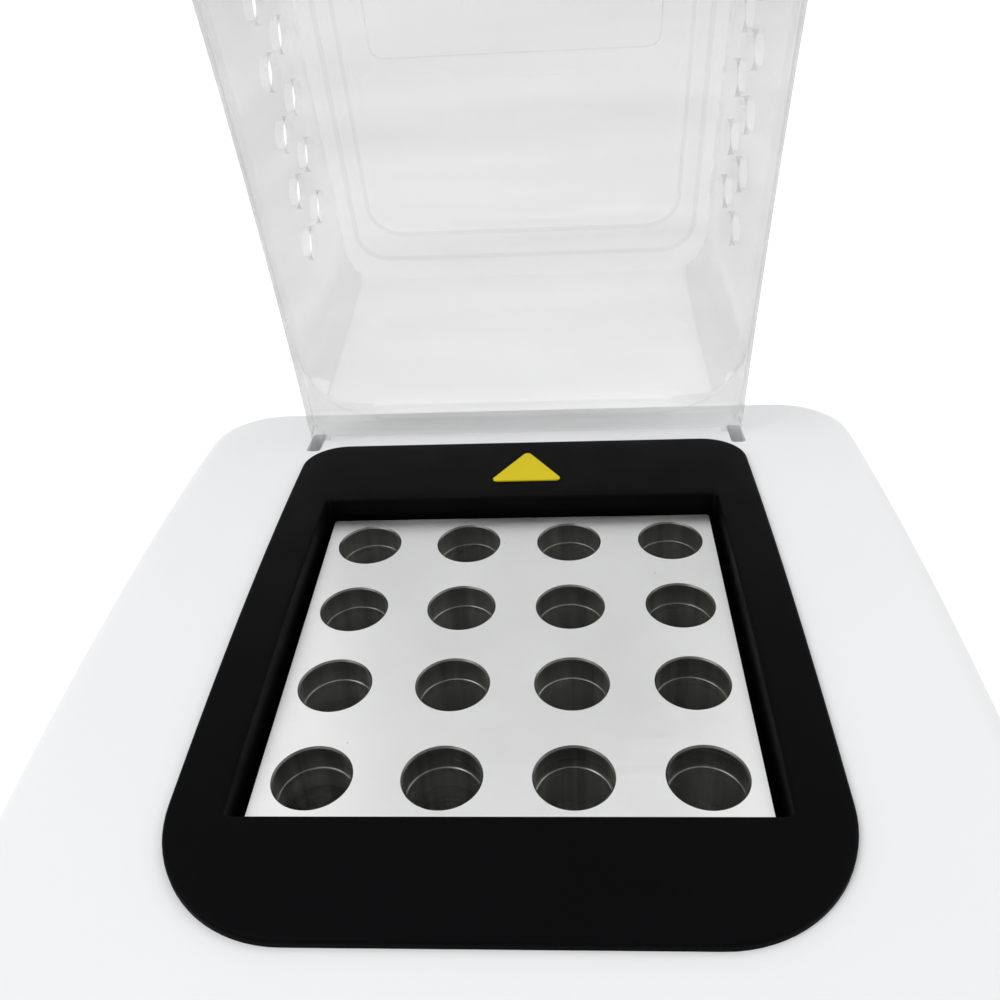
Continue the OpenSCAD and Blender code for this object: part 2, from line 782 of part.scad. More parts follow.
module display_board() {
    color("darkgreen") placed() on_panel() translate([0, panel_mid_l, board_front - board_t]) linear_extrude(board_t)
        difference() {
            centred_plate(display_board_w, display_board_l, 2);
            for (s = [-1, 1], t = [-1, 1]) translate([s * display_pillar_x, t * display_pillar_y]) circle(1.7, $fn = 32);
        }
}

module display_screws() {
    color("silver") placed() on_panel() for (s = [-1, 1], t = [-1, 1])
        translate([s * display_pillar_x, panel_mid_l + t * display_pillar_y, board_front - board_t - 2]) {
            cylinder(h = 2, r = 2.6, $fn = 32);
            cylinder(h = 2 + board_t + 5, r = 1.2, $fn = 32);
        }
}

module key(x, y) {
    placed() on_panel() translate([x, y, key_root]) {
        linear_extrude(-key_root + key_proud - 0.5) centred_plate(key_w, key_l, 2.7);
        translate([0, 0, -key_root + key_proud - 0.5]) linear_extrude(0.5) centred_plate(key_w - 1, key_l - 1, 2.2);
        linear_extrude(key_flange_t) centred_plate(key_w + 2 * key_flange, key_l + 2 * key_flange, 3);
    }
}

module key_up() {
    color([0.75, 0.78, 0.8]) key(key_xs[0], key_ys[0]);
}

module key_down() {
    color([0.75, 0.78, 0.8]) key(key_xs[0], key_ys[1]);
}

module key_mode() {
    color([0.75, 0.78, 0.8]) key(key_xs[1], key_ys[0]);
}

module key_start() {
    color([0.35, 0.6, 0.42]) key(key_xs[1], key_ys[1]);
}

module key_switches() {
    reach = key_root - key_travel - 0.1 - board_front;
    color([0.15, 0.15, 0.16]) placed() on_panel() for (x = key_xs, y = key_ys) translate([x, y, board_front]) {
        translate([-3, -3, 0]) cube([6, 6, 3.5]);
        cylinder(h = reach, r = 1.75, $fn = 32);
    }
}

module status_lights() {
    color([0.9, 0.35, 0.2]) placed() on_panel() for (i = [-1 : 1])
        translate([light_x, panel_mid_l + i * light_step, board_front]) {
            cylinder(h = -board_front, d = light_d, $fn = 32);
            sphere_cap();
        }
}

module sphere_cap() {
    translate([0, 0, -board_front]) intersection() {
        sphere(d = light_d, $fn = 32);
        translate([-light_d, -light_d, 0]) cube([2 * light_d, 2 * light_d, 0.9]);
    }
}

// Flat cable from the display board down to the control board
module display_cable() {
    cable_w = 20;
    cable_t = 1;
    y_top = panel_top_y + panel_mid_l * cos(panel_angle) - (board_front - board_t) * sin(panel_angle);
    z_top = panel_top_z + panel_mid_l * sin(panel_angle) + (board_front - board_t) * cos(panel_angle);
    color("lightgray") placed() translate([10, 0, 0]) across_x(cable_w) polygon([
        [y_top + 1, z_top + 0.6], [y_top + 10, z_top - 12], [y_top + 10, control_top + 0.2],
        [y_top + 10 + cable_t, control_top + 0.2], [y_top + 10 + cable_t, z_top - 12 + cable_t],
        [y_top + 1 + cable_t, z_top + 1.3]]);
}

module control_board() {
    color("darkgreen") placed() translate([0, control_y, control_z]) linear_extrude(board_t) difference() {
        centred_plate(control_w, control_l, 2);
        for (s = [-1, 1], t = [-1, 1]) translate([s * (control_w / 2 - 6), t * (control_l / 2 - 6)]) circle(1.7, $fn = 32);
    }
}

module board_pillars() {
    color("whitesmoke") placed() four(control_w / 2 - 6, [control_y - control_l / 2 + 6, control_y + control_l / 2 - 6])
        translate([0, 0, floor_z]) difference() {
            cylinder(h = control_z - floor_z, r = 3.5);
            translate([0, 0, 2]) cylinder(h = control_z, r = 1.3, $fn = 32);
        }
}

module board_screws() {
    color("silver") placed() four(control_w / 2 - 6, [control_y - control_l / 2 + 6, control_y + control_l / 2 - 6])
        translate([0, 0, floor_z + 3]) {
            cylinder(h = control_top - floor_z - 3 + 2, r = 1.2, $fn = 32);
            translate([0, 0, control_top - floor_z - 3]) cylinder(h = 2, r = 2.6, $fn = 32);
        }
}

module transformer() {
    color([0.75, 0.6, 0.2]) placed() translate([-42, control_y, control_top]) {
        translate([-20, -17, 0]) cube([40, 34, 10]);
        translate([-22, -9, 2]) cube([44, 18, 30]);
        translate([-15, -16, 10]) cube([30, 32, 18]);
    }
}

module heatsink() {
    color("gray") placed() translate([52, control_y + 12, control_top]) {
        translate([-16, 0, 0]) cube([32, 3, 34]);
        for (i = [-3 : 3]) translate([i * 5 - 0.75, 2, 0]) cube([1.5, 13.5, 34]);
    }
}

module triac() {
    color([0.12, 0.12, 0.13]) placed() translate([52, control_y + 12, control_top + 8]) {
        translate([-5, -4.5, 0]) cube([10, 4.5, 16]);
        for (i = [-1 : 1]) translate([i * 2.5 - 0.4, -2.6, -8]) cube([0.8, 0.6, 9]);
    }
}

module relay() {
    color([0.15, 0.3, 0.6]) placed() translate([-6, control_y + 4, control_top]) cube([19, 15, 16]);
}

module terminal_block() {
    color([0.2, 0.55, 0.3]) placed() translate([18, control_y - 30, control_top]) difference() {
        cube([46, 11, 14]);
        for (i = [0 : 5]) translate([4 + i * 7.6, -1, 3]) cube([5, 6, 5]);
    }
}

module capacitors() {
    color([0.15, 0.2, 0.35]) placed() for (p = [[-4, -4, 6, 18], [12, -4, 6, 18], [26, 4, 4, 12]])
        translate([p[0], control_y + p[1], control_top]) cylinder(h = p[3], r = p[2]);
}

module power_inlet() {
    color([0.1, 0.1, 0.11]) placed() translate([inlet_x, 0, inlet_z]) difference() {
        union() {
            translate([-14, inlet_back, -15]) cube([28, rear_y - inlet_back + 1, 30]);
            translate([0, rear_y, 0]) rotate([-90, 0, 0]) linear_extrude(2) centred_plate(50, 34, 3);
        }
        translate([-12, rear_y - 16, -3.5]) cube([24, 20, 16]);
        translate([-12, drawer_back - 0.5, -13.7]) cube([24, 30, 7.4]);
        for (s = [-1, 1]) translate([s * 20, 0, 0]) rod_y(rear_y - 1, rear_y + 3, 1.7);
        for (i = [-1 : 1]) translate([i * 7 - 1.1, inlet_back - 2, (i == 0 ? 6.5 : 1.5) - 2.1]) cube([2.2, 20, 4.2]);
    }
}

module inlet_pins() {
    color("silver") placed() translate([inlet_x, 0, inlet_z])
        for (i = [-1 : 1]) translate([i * 7 - 1, pins_back, (i == 0 ? 6.5 : 1.5) - 2]) cube([2, rear_y - pins_back - 3, 4]);
}

module inlet_screws() {
    color("silver") placed() translate([inlet_x, 0, inlet_z]) for (s = [-1, 1]) translate([s * 20, 0, 0]) {
        rod_y(rear_y - 6, rear_y + 2, 1.5);
        rod_y(rear_y + 2, rear_y + 3.4, 2.8);
    }
}

module fuse_drawer() {
    color([0.16, 0.16, 0.17]) placed() translate([inlet_x, 0, inlet_z]) difference() {
        union() {
            translate([-11.7, drawer_back, -13.4]) cube([23.4, rear_y + 2.3 - drawer_back, 6.8]);
            translate([-13, rear_y + 2.3, -14.2]) cube([26, 1.4, 8.4]);
            translate([-5, rear_y + 3, -11]) cube([10, 2, 2]);
        }
        for (y = fuse_ys) translate([-10.5, y - 2.9, -12.8]) cube([21, 5.8, 8]);
    }
}

module fuses() {
    color([0.85, 0.87, 0.88]) placed() translate([inlet_x, 0, inlet_z]) for (y = fuse_ys)
        translate([0, y, -10.25]) rod_x(-10, 10, 2.5);
}

module switch_frame() {
    color([0.1, 0.1, 0.11]) placed() translate([switch_x, 0, inlet_z]) difference() {
        union() {
            translate([-6.5, rear_y - 14, -9.5]) cube([13, 15, 19]);
            translate([0, rear_y, 0]) rotate([-90, 0, 0]) linear_extrude(2) centred_plate(15, 21, 1.5);
        }
        translate([-5.8, rear_y - 8, -8.7]) cube([11.6, 12, 17.4]);
        translate([0, rear_y - 1, 0]) rod_x(-6.4, 6.4, 1.3);
    }
}

module power_rocker() {
    color([0.14, 0.14, 0.15]) placed() translate([switch_x, rear_y - 1, inlet_z]) rotate([rocker_tilt, 0, 0]) {
        across_x(11) intersection() {
            circle(8.4);
            polygon([[-5, -7], [4.8, -9], [3.2, 0], [4.8, 9], [-5, 7]]);
        }
        rod_x(-6.2, 6.2, 1.2);
    }
}

module switch_tabs() {
    color("silver") placed() translate([switch_x, 0, inlet_z]) for (z = [-5, 5])
        translate([-2.4, rear_y - 22, z - 0.4]) cube([4.8, 8, 0.8]);
}

// Mains leads run along the floor's right side, from the rear panel to the terminal block
module mains_leads() {
    lead_d = 2.6;
    x_run = [80, 84];
    color([0.35, 0.22, 0.14]) placed() for (i = [0, 1]) {
        x0 = inlet_x + (i == 0 ? -7 : 7);
        y_turn = pins_back - 9 + 5 * i;
        z_run = floor_z + 12 + 5 * i;
        xt = 24.5 + 7.6 * (4 - i);
        yt = control_y - 36 - 4 * i;
        wire([[x0, pins_back - fit, inlet_z + 1.5], [x0, y_turn, inlet_z + 1.5], [x_run[i], y_turn, inlet_z + 1.5],
              [x_run[i], y_turn, z_run], [x_run[i], yt, z_run], [x_run[i], yt, control_top + 5.5],
              [xt, yt, control_top + 5.5], [xt, control_y - 30 + 4, control_top + 5.5]], lead_d);
    }
}

// Heater leads leave the mat, pass the jacket and the can, and drop to the terminal block
module heater_leads() {
    lead_d = 2.4;
    color([0.7, 0.2, 0.15]) placed() for (s = [0, 1]) {
        x0 = s == 0 ? -12 : 12;
        xt = 24.5 + 7.6 * s;
        y_down = -can_side / 2 - 5 - 4 * s;
        zl = heater_z + heater_t / 2;
        z_low = control_top + 24 + 5 * s;
        wire([[x0, -block_side / 2 + 2 - fit, zl], [x0, y_down, zl], [x0, y_down, z_low], [xt, y_down, z_low],
              [xt, control_y - 38 - 4 * s, z_low], [xt, control_y - 38 - 4 * s, control_top + 5.5],
              [xt, control_y - 30 + 4, control_top + 5.5]], lead_d);
    }
}

// Probe lead drops from the probe's tail onto the control board
module probe_lead() {
    y_drop = probe_tail - 6;
    color([0.85, 0.85, 0.83]) placed() wire([[0, probe_tail - fit, probe_z], [0, y_drop, probe_z],
                                             [0, y_drop, control_top + 0.3]], 2.2);
}

top_cover();
base_tray();
rubber_feet();
foot_screws();
case_screws();
block_bezel();
surface_marker();
heating_block();
block_floor();
heater_mat();
clamp_plate();
clamp_screws();
temperature_probe();
thermal_cutout();
block_posts();
insulation_floor();
insulation_jacket();
block_can();
can_pillars();
lid();
hinge_pins();
panel_overlay();
display_window();
lcd_module();
display_board();
display_screws();
key_up();
key_down();
key_mode();
key_start();
key_switches();
status_lights();
display_cable();
control_board();
board_pillars();
board_screws();
transformer();
heatsink();
triac();
relay();
terminal_block();
capacitors();
power_inlet();
inlet_pins();
inlet_screws();
fuse_drawer();
fuses();
switch_frame();
power_rocker();
switch_tabs();
mains_leads();
heater_leads();
probe_lead();
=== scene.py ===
"""Looks of the bench reactor: a white case, a black bezel, a drilled aluminium block and a clear hinged hood."""
import json
import math

import bmesh
import bpy
from mathutils import Matrix, Vector

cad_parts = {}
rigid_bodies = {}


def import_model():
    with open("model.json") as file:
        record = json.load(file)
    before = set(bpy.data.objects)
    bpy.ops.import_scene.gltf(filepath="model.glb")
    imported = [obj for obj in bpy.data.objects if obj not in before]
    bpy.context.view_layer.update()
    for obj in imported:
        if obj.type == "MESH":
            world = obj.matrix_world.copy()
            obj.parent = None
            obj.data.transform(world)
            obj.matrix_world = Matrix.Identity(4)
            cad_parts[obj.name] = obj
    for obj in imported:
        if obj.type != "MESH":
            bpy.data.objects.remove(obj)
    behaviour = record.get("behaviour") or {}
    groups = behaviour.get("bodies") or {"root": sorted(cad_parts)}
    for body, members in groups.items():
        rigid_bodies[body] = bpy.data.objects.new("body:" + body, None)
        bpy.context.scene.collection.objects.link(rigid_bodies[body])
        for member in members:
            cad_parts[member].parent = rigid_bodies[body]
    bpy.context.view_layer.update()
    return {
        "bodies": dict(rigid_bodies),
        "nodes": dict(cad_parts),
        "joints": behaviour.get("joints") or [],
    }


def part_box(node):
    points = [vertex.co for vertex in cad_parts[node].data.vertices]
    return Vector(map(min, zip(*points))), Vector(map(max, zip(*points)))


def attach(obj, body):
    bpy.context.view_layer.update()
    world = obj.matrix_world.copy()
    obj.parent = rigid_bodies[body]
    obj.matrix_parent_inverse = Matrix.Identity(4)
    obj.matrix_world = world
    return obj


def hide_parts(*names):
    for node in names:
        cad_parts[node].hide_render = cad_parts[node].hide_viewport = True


MM = 0.001
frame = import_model()
nodes = frame["nodes"]

# Driving sizes, read from the frame where it holds them
cover_lo, cover_hi = (Vector(c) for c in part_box("top_cover"))
block_lo, block_hi = (Vector(c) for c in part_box("heating_block"))
bezel_lo, bezel_hi = (Vector(c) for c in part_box("block_bezel"))
joints = {j["name"]: j for j in frame["joints"]}
HINGE = Vector(joints["hood_hinge"]["pos_m"])
OPEN_ANGLE = math.radians(joints["hood_hinge"]["range_deg"][1])
MIDDLE_Y = (block_lo.y + block_hi.y) / 2
HALF_W = cover_hi.x
FRONT_Y = cover_lo.y
REAR_Y = cover_hi.y
CROWN_Z = cover_hi.z
PARTING_Z = cover_lo.z
BLOCK_TOP = block_hi.z
TOP_ARC_R = 1000 * MM
PANEL_TOP_Y = MIDDLE_Y - 120 * MM
PANEL_ANGLE = math.radians(40)
FRONT_CORNER_R = 28 * MM
REAR_CORNER_R = 24 * MM
EDGE_R = 9 * MM
SHELL_WALL = 2.7 * MM


def new_object(name, mesh):
    obj = bpy.data.objects.new(name, mesh)
    bpy.context.scene.collection.objects.link(obj)
    return obj


def mesh_object(name, verts, faces):
    mesh = bpy.data.meshes.new(name)
    mesh.from_pydata([tuple(v) for v in verts], [], faces)
    mesh.validate()
    mesh.update()
    return new_object(name, mesh)


def shade(obj, angle=35):
    """Smooth shading with hard edges where faces meet at more than the angle."""
    mesh = obj.data
    mesh.shade_smooth()
    mesh.set_sharp_from_angle(angle=math.radians(angle))


def apply_modifiers(obj):
    """Turns what the modifiers show into the object's own mesh."""
    depsgraph = bpy.context.evaluated_depsgraph_get()
    depsgraph.update()
    mesh = bpy.data.meshes.new_from_object(obj.evaluated_get(depsgraph))
    obj.modifiers.clear()
    old = obj.data
    obj.data = mesh
    bpy.data.meshes.remove(old)


def fix_normals(obj):
    bm = bmesh.new()
    bm.from_mesh(obj.data)
    bmesh.ops.recalc_face_normals(bm, faces=bm.faces)
    bm.to_mesh(obj.data)
    bm.free()


def cut(obj, cutters):
    """Takes the cutters away from the object, one boolean each."""
    for cutter in cutters:
        boolean = obj.modifiers.new("cut", "BOOLEAN")
        boolean.operation = "DIFFERENCE"
        boolean.solver = "EXACT"
        boolean.object = cutter
    apply_modifiers(obj)
    for cutter in cutters:
        mesh = cutter.data
        bpy.data.objects.remove(cutter)
        bpy.data.meshes.remove(mesh)


def unite(obj, additions):
    for other in additions:
        boolean = obj.modifiers.new("unite", "BOOLEAN")
        boolean.operation = "UNION"
        boolean.solver = "EXACT"
        boolean.object = other
    apply_modifiers(obj)
    for other in additions:
        mesh = other.data
        bpy.data.objects.remove(other)
        bpy.data.meshes.remove(mesh)


def body_name(node):
    """Name of the CAD body that a node moves with."""
    bodies = {empty: name for name, empty in frame["bodies"].items()}
    at = nodes[node]
    while at not in bodies:
        at = at.parent
    return bodies[at]


def rounded_copy(node, width, segments=2, angle=30):
    """A copy of a CAD node with its hard edges rounded, which stands for the node."""
    source = nodes[node]
    mesh = source.data.copy()
    obj = new_object(node + "_shell", mesh)
    bm = bmesh.new()
    bm.from_mesh(mesh)
    bmesh.ops.remove_doubles(bm, verts=bm.verts, dist=0.002 * MM)
    bmesh.ops.dissolve_limit(bm, angle_limit=math.radians(0.5), verts=bm.verts, edges=bm.edges)
    bm.to_mesh(mesh)
    bm.free()
    bevel = obj.modifiers.new("bevel", "BEVEL")
    bevel.width = width
    bevel.segments = segments
    bevel.limit_method = "ANGLE"
    bevel.angle_limit = math.radians(angle)
    bevel.miter_outer = "MITER_ARC"
    bevel.use_clamp_overlap = True
    apply_modifiers(obj)
    shade(obj)
    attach(obj, body_name(node))
    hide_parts(node)


# Materials


class Material:
    """A node material with a Principled shader and short ways to add procedural detail."""

    def __init__(self, name, color, roughness, metallic=0.0):
        self.data = bpy.data.materials.new(name)
        self.data.use_nodes = True
        self.tree = self.data.node_tree
        self.shader = self.tree.nodes["Principled BSDF"]
        self.output = self.tree.nodes["Material Output"]
        self.set("Base Color", (*color, 1))
        self.set("Roughness", roughness)
        self.set("Metallic", metallic)
        self.place = self.tree.nodes.new("ShaderNodeTexCoord").outputs["Object"]
        self.last_bump = None

    def set(self, socket, value):
        self.shader.inputs[socket].default_value = value

    def node(self, kind, **inputs):
        made = self.tree.nodes.new(kind)
        for key, value in inputs.items():
            made.inputs[key.replace("_", " ")].default_value = value
        return made

    def link(self, output, socket):
        self.tree.links.new(output, socket)

    def noise(self, scale, detail=3.0, stretch=(1, 1, 1), roughness=0.5):
        """Noise over the object's own place, with the scale in features per metre."""
        mapping = self.node("ShaderNodeMapping")
        mapping.inputs["Scale"].default_value = stretch
        self.link(self.place, mapping.inputs["Vector"])
        noise = self.node("ShaderNodeTexNoise", Scale=scale, Detail=detail, Roughness=roughness)
        self.link(mapping.outputs["Vector"], noise.inputs["Vector"])
        return noise.outputs["Fac"]

    def ramp(self, source, low, high, low_at=0.3, high_at=0.7):
        """Runs from one value to another as the source passes between two levels."""
        made = self.node("ShaderNodeMapRange")
        made.inputs["From Min"].default_value = low_at
        made.inputs["From Max"].default_value = high_at
        made.inputs["To Min"].default_value = low
        made.inputs["To Max"].default_value = high
        self.link(source, made.inputs["Value"])
        return made.outputs["Result"]

    def math(self, operation, a, b=None):
        made = self.tree.nodes.new("ShaderNodeMath")
        made.operation = operation
        for i, value in enumerate((a, b)):
            if value is None:
                continue
            if isinstance(value, (int, float)):
                made.inputs[i].default_value = value
            else:
                self.link(value, made.inputs[i])
        return made.outputs[0]

    def mix_color(self, factor, a, b):
        made = self.tree.nodes.new("ShaderNodeMix")
        made.data_type = "RGBA"
        for i, value in ((6, a), (7, b)):
            if isinstance(value, tuple):
                made.inputs[i].default_value = (*value, 1)
            else:
                self.link(value, made.inputs[i])
        self.link(factor, made.inputs[0])
        return made.outputs[2]

    def bump(self, source, strength, distance):
        made = self.node("ShaderNodeBump", Strength=strength, Distance=distance)
        self.link(source, made.inputs["Height"])
        if self.last_bump is not None:
            self.link(self.last_bump, made.inputs["Normal"])
        self.last_bump = made.outputs["Normal"]
        self.link(self.last_bump, self.shader.inputs["Normal"])

    def dress(self, *objects):
        for obj in objects:
            obj.data.materials.clear()
            obj.data.materials.append(self.data)


def plastic(name, color, roughness, grain=900, depth=0.02, mottle=0.03, strength=0.25, gloss=0.5):
    """Moulded plastic: a fine spark-eroded grain, with soft changes in gloss and tone."""
    made = Material(name, color, roughness)
    made.set("Specular IOR Level", gloss)
    tone = made.ramp(made.noise(14), 1 - mottle, 1 + mottle)
    shade_of = made.node("ShaderNodeVectorMath")
    shade_of.operation = "SCALE"
    shade_of.inputs[0].default_value = color
    made.link(tone, shade_of.inputs["Scale"])
    made.link(shade_of.outputs[0], made.shader.inputs["Base Color"])
    made.link(made.ramp(made.noise(60), roughness * 0.9, roughness * 1.12), made.shader.inputs["Roughness"])
    made.bump(made.noise(grain, detail=2), strength, depth * MM)
    return made


def turned_metal(name, color, roughness, lines=2500, stretch=(0.02, 1, 1)):
    """Metal with fine lines along one direction."""
    made = Material(name, color, roughness, metallic=1.0)
    made.link(made.ramp(made.noise(lines, stretch=stretch), roughness * 0.8, roughness * 1.25),
              made.shader.inputs["Roughness"])
    made.bump(made.noise(lines, stretch=stretch), 0.2, 0.01 * MM)
    return made


def block_material():
    """Milled aluminium: fine lines, specks and a few scratches on top; down the wells the turned walls are darker,
    partly their finish and partly painted shade, with painted shade on ledges and well floors and painted streak
    highlights.
    """
    made = Material("milled_aluminium", (0.78, 0.785, 0.77), 0.3, metallic=1.0)
    geometry = made.tree.nodes.new("ShaderNodeNewGeometry")
    facing = made.tree.nodes.new("ShaderNodeSeparateXYZ")
    made.link(geometry.outputs["Normal"], facing.inputs[0])
    where = made.tree.nodes.new("ShaderNodeSeparateXYZ")
    made.link(made.place, where.inputs[0])
    upward = made.ramp(facing.outputs["Z"], 0, 1, 0.85, 0.95)
    high = made.ramp(where.outputs["Z"], 0, 1, BLOCK_TOP - 1.2 * MM, BLOCK_TOP - 0.6 * MM)
    top = made.math("MULTIPLY", upward, high)
    wall = made.math("SUBTRACT", 1.0, top)
    lines = made.noise(1400, detail=4, stretch=(0.03, 1, 1))
    rings = made.noise(1500, detail=3, stretch=(0.004, 0.004, 1))
    # Painted highlights: vertical streak noise in the wall colour stands in for the streaky reflections down the turned
    # wells.
    painted_streak_highlights = made.noise(260, detail=3, stretch=(1, 1, 0.01))
    blotch = made.noise(30, detail=4)
    rough_top = made.math("ADD", made.ramp(lines, 0.3, 0.38), made.ramp(blotch, -0.03, 0.05))
    rough_wall = made.ramp(rings, 0.26, 0.36)
    rough = made.math("ADD", made.math("MULTIPLY", rough_top, top), made.math("MULTIPLY", rough_wall, wall))
    made.link(rough, made.shader.inputs["Roughness"])
    bright = made.mix_color(made.ramp(blotch, 0.0, 1.0, 0.25, 0.75), (0.84, 0.845, 0.84), (0.9, 0.905, 0.9))
    specks = made.math("MULTIPLY", made.ramp(made.noise(420, detail=2), 0.0, 1.0, 0.76, 0.79),
                       made.ramp(made.noise(25, detail=1), 0.0, 1.0, 0.5, 0.6))
    bright = made.mix_color(specks, bright, (0.22, 0.22, 0.21))
    # The wells' walls are darker, partly their turned finish and partly painted shade, darkest near the mouth and
    # lighter lower down.
    wall_finish_and_painted_shade = made.ramp(where.outputs["Z"], 0.88, 0.4, BLOCK_TOP - 9 * MM, BLOCK_TOP - 2 * MM)
    # Painted shade: faces that look upward but are not part of the top, such as chamfers, ledges and the well floors,
    # are darkened.
    painted_recess_shade = made.math("MULTIPLY", made.ramp(facing.outputs["Z"], 0, 0.75, 0.15, 0.5), wall)
    tone = made.math("MULTIPLY", wall_finish_and_painted_shade, made.ramp(painted_streak_highlights, 0.72, 1.28))
    tone = made.math("MULTIPLY", tone, made.math("SUBTRACT", 1.0, painted_recess_shade))
    shaded_wall_colour = made.node("ShaderNodeCombineColor")
    for channel, share in (("Red", 1.0), ("Green", 1.01), ("Blue", 0.97)):
        made.link(made.math("MULTIPLY", tone, share), shaded_wall_colour.inputs[channel])
    made.link(made.mix_color(top, shaded_wall_colour.outputs[0], bright), made.shader.inputs["Base Color"])
    made.bump(made.math("MULTIPLY", lines, top), 0.1, 0.01 * MM)
    made.bump(made.math("MULTIPLY", rings, wall), 0.18, 0.015 * MM)
    return made


def clear_material(name, tint, milk_share):
    """Clear acrylic, a little grey and milky from just over the case up, with soft waves from its moulding; painted
    light makes it clearer below that and lighter higher up.
    """
    made = Material(name, (0.97, 0.972, 0.98), 0.06)
    made.set("Transmission Weight", 1.0)
    made.set("IOR", 1.3)
    where = made.tree.nodes.new("ShaderNodeSeparateXYZ")
    made.link(made.place, where.inputs[0])
    # Painted light: below just over the case the acrylic is drawn clearer, less grey and less milky, to lift the shade
    # seen through it.
    height = made.ramp(where.outputs["Z"], 0, 1, CROWN_Z - 3 * MM, CROWN_Z + 4 * MM)
    wave = made.ramp(made.noise(15, detail=2, stretch=(0.35, 1, 4)), 0.965, 1.025)
    tone = made.math("MULTIPLY", made.ramp(height, 0.985, tint, 0, 1), wave)
    # Painted light: the acrylic is drawn lighter with height above the case.
    painted_light_with_height = made.ramp(where.outputs["Z"], 0.958, 1.0, CROWN_Z + 4 * MM, CROWN_Z + 150 * MM)
    tone = made.math("MULTIPLY", tone, painted_light_with_height)
    made.link(made.math("MULTIPLY", tone, tone), made.shader.inputs["Base Color"])
    made.bump(made.noise(9, detail=2, stretch=(1, 1, 5)), 0.08, 0.3 * MM)
    made.bump(made.noise(40, detail=2), 0.03, 0.1 * MM)
    through = made.tree.nodes.new("ShaderNodeBsdfTransparent")
    made.link(tone, through.inputs["Color"])
    thin = made.tree.nodes.new("ShaderNodeMixShader")
    made.link(made.ramp(height, 0.92, 0.7, 0, 1), thin.inputs[0])
    made.link(made.shader.outputs[0], thin.inputs[1])
    made.link(through.outputs[0], thin.inputs[2])
    scatter = made.tree.nodes.new("ShaderNodeBsdfDiffuse")
    scatter.inputs["Color"].default_value = (0.9, 0.905, 0.92, 1)
    milk = made.tree.nodes.new("ShaderNodeMixShader")
    milk_and_painted_clear_band = made.ramp(height, 0.02, milk_share, 0, 1)
    made.link(made.math("ADD", milk_and_painted_clear_band, made.ramp(made.noise(18), -0.01, 0.01)), milk.inputs[0])
    made.link(thin.outputs[0], milk.inputs[1])
    made.link(scatter.outputs[0], milk.inputs[2])
    made.link(milk.outputs[0], made.output.inputs["Surface"])
    return made


white = plastic("white_housing", (0.9, 0.905, 0.915), 0.42, grain=1500, depth=0.01, mottle=0.006, strength=0.1)
black = plastic("matt_black", (0.002, 0.0021, 0.0025), 0.5, grain=1700, depth=0.03, mottle=0.15, strength=0.35,
                gloss=0.028)
clear = clear_material("clear_acrylic", 0.876, 0.09)
# Painted shade: a greyer, milkier copy of the acrylic that the hood's rim band and creases take.
clear_painted_crease_shade = clear_material("clear_acrylic_painted_crease_shade", 0.84, 0.14)
aluminium = block_material()
yellow = plastic("yellow_film", (0.72, 0.58, 0.008), 0.45, grain=1200, mottle=0.03, strength=0.1, gloss=0.1)
rubber = plastic("rubber", (0.02, 0.02, 0.021), 0.75, grain=700, depth=0.06, mottle=0.15)
steel = turned_metal("zinc_steel", (0.62, 0.62, 0.63), 0.32)
sheet_steel = turned_metal("galvanised_sheet", (0.6, 0.61, 0.62), 0.4, lines=300, stretch=(1, 1, 0.4))
fibre = plastic("fibre_board", (0.72, 0.7, 0.64), 0.9, grain=450, depth=0.4, mottle=0.08, strength=0.7)
mica = plastic("mica", (0.4, 0.3, 0.12), 0.5, grain=260, depth=0.05, mottle=0.2)
film = plastic("panel_film", (0.03, 0.037, 0.045), 0.45, grain=2200, depth=0.015, mottle=0.05)
window_glass = Material("display_window", (0.35, 0.4, 0.42), 0.05)
window_glass.set("Transmission Weight", 0.9)
window_glass.bump(window_glass.noise(30), 0.03, 0.05 * MM)
display = plastic("unlit_display", (0.12, 0.16, 0.1), 0.2, grain=2500, depth=0.004, mottle=0.05)
key_grey = plastic("key_grey", (0.36, 0.39, 0.42), 0.6, grain=1500, depth=0.02, mottle=0.04)
key_green = plastic("key_green", (0.05, 0.26, 0.12), 0.6, grain=1500, depth=0.02, mottle=0.04)
board = plastic("board", (0.01, 0.09, 0.03), 0.35, grain=900, depth=0.02, mottle=0.15)
gloss_black = plastic("gloss_black", (0.014, 0.014, 0.015), 0.32, grain=900, depth=0.01, mottle=0.1)
lens = plastic("lens", (0.55, 0.12, 0.04), 0.15, grain=900, depth=0.004, mottle=0.05)
coil = plastic("coil_tape", (0.4, 0.28, 0.02), 0.4, grain=500, depth=0.05, mottle=0.1)
relay_blue = plastic("relay_blue", (0.02, 0.06, 0.2), 0.4, mottle=0.06)
terminal_green = plastic("terminal_green", (0.03, 0.16, 0.06), 0.5, mottle=0.06)
brown = plastic("lead_brown", (0.07, 0.03, 0.015), 0.45, mottle=0.1)
red = plastic("lead_red", (0.3, 0.02, 0.015), 0.5, mottle=0.1)
pale = plastic("lead_white", (0.65, 0.65, 0.62), 0.5, mottle=0.05)
grey = plastic("cable_grey", (0.28, 0.29, 0.31), 0.5, mottle=0.06)

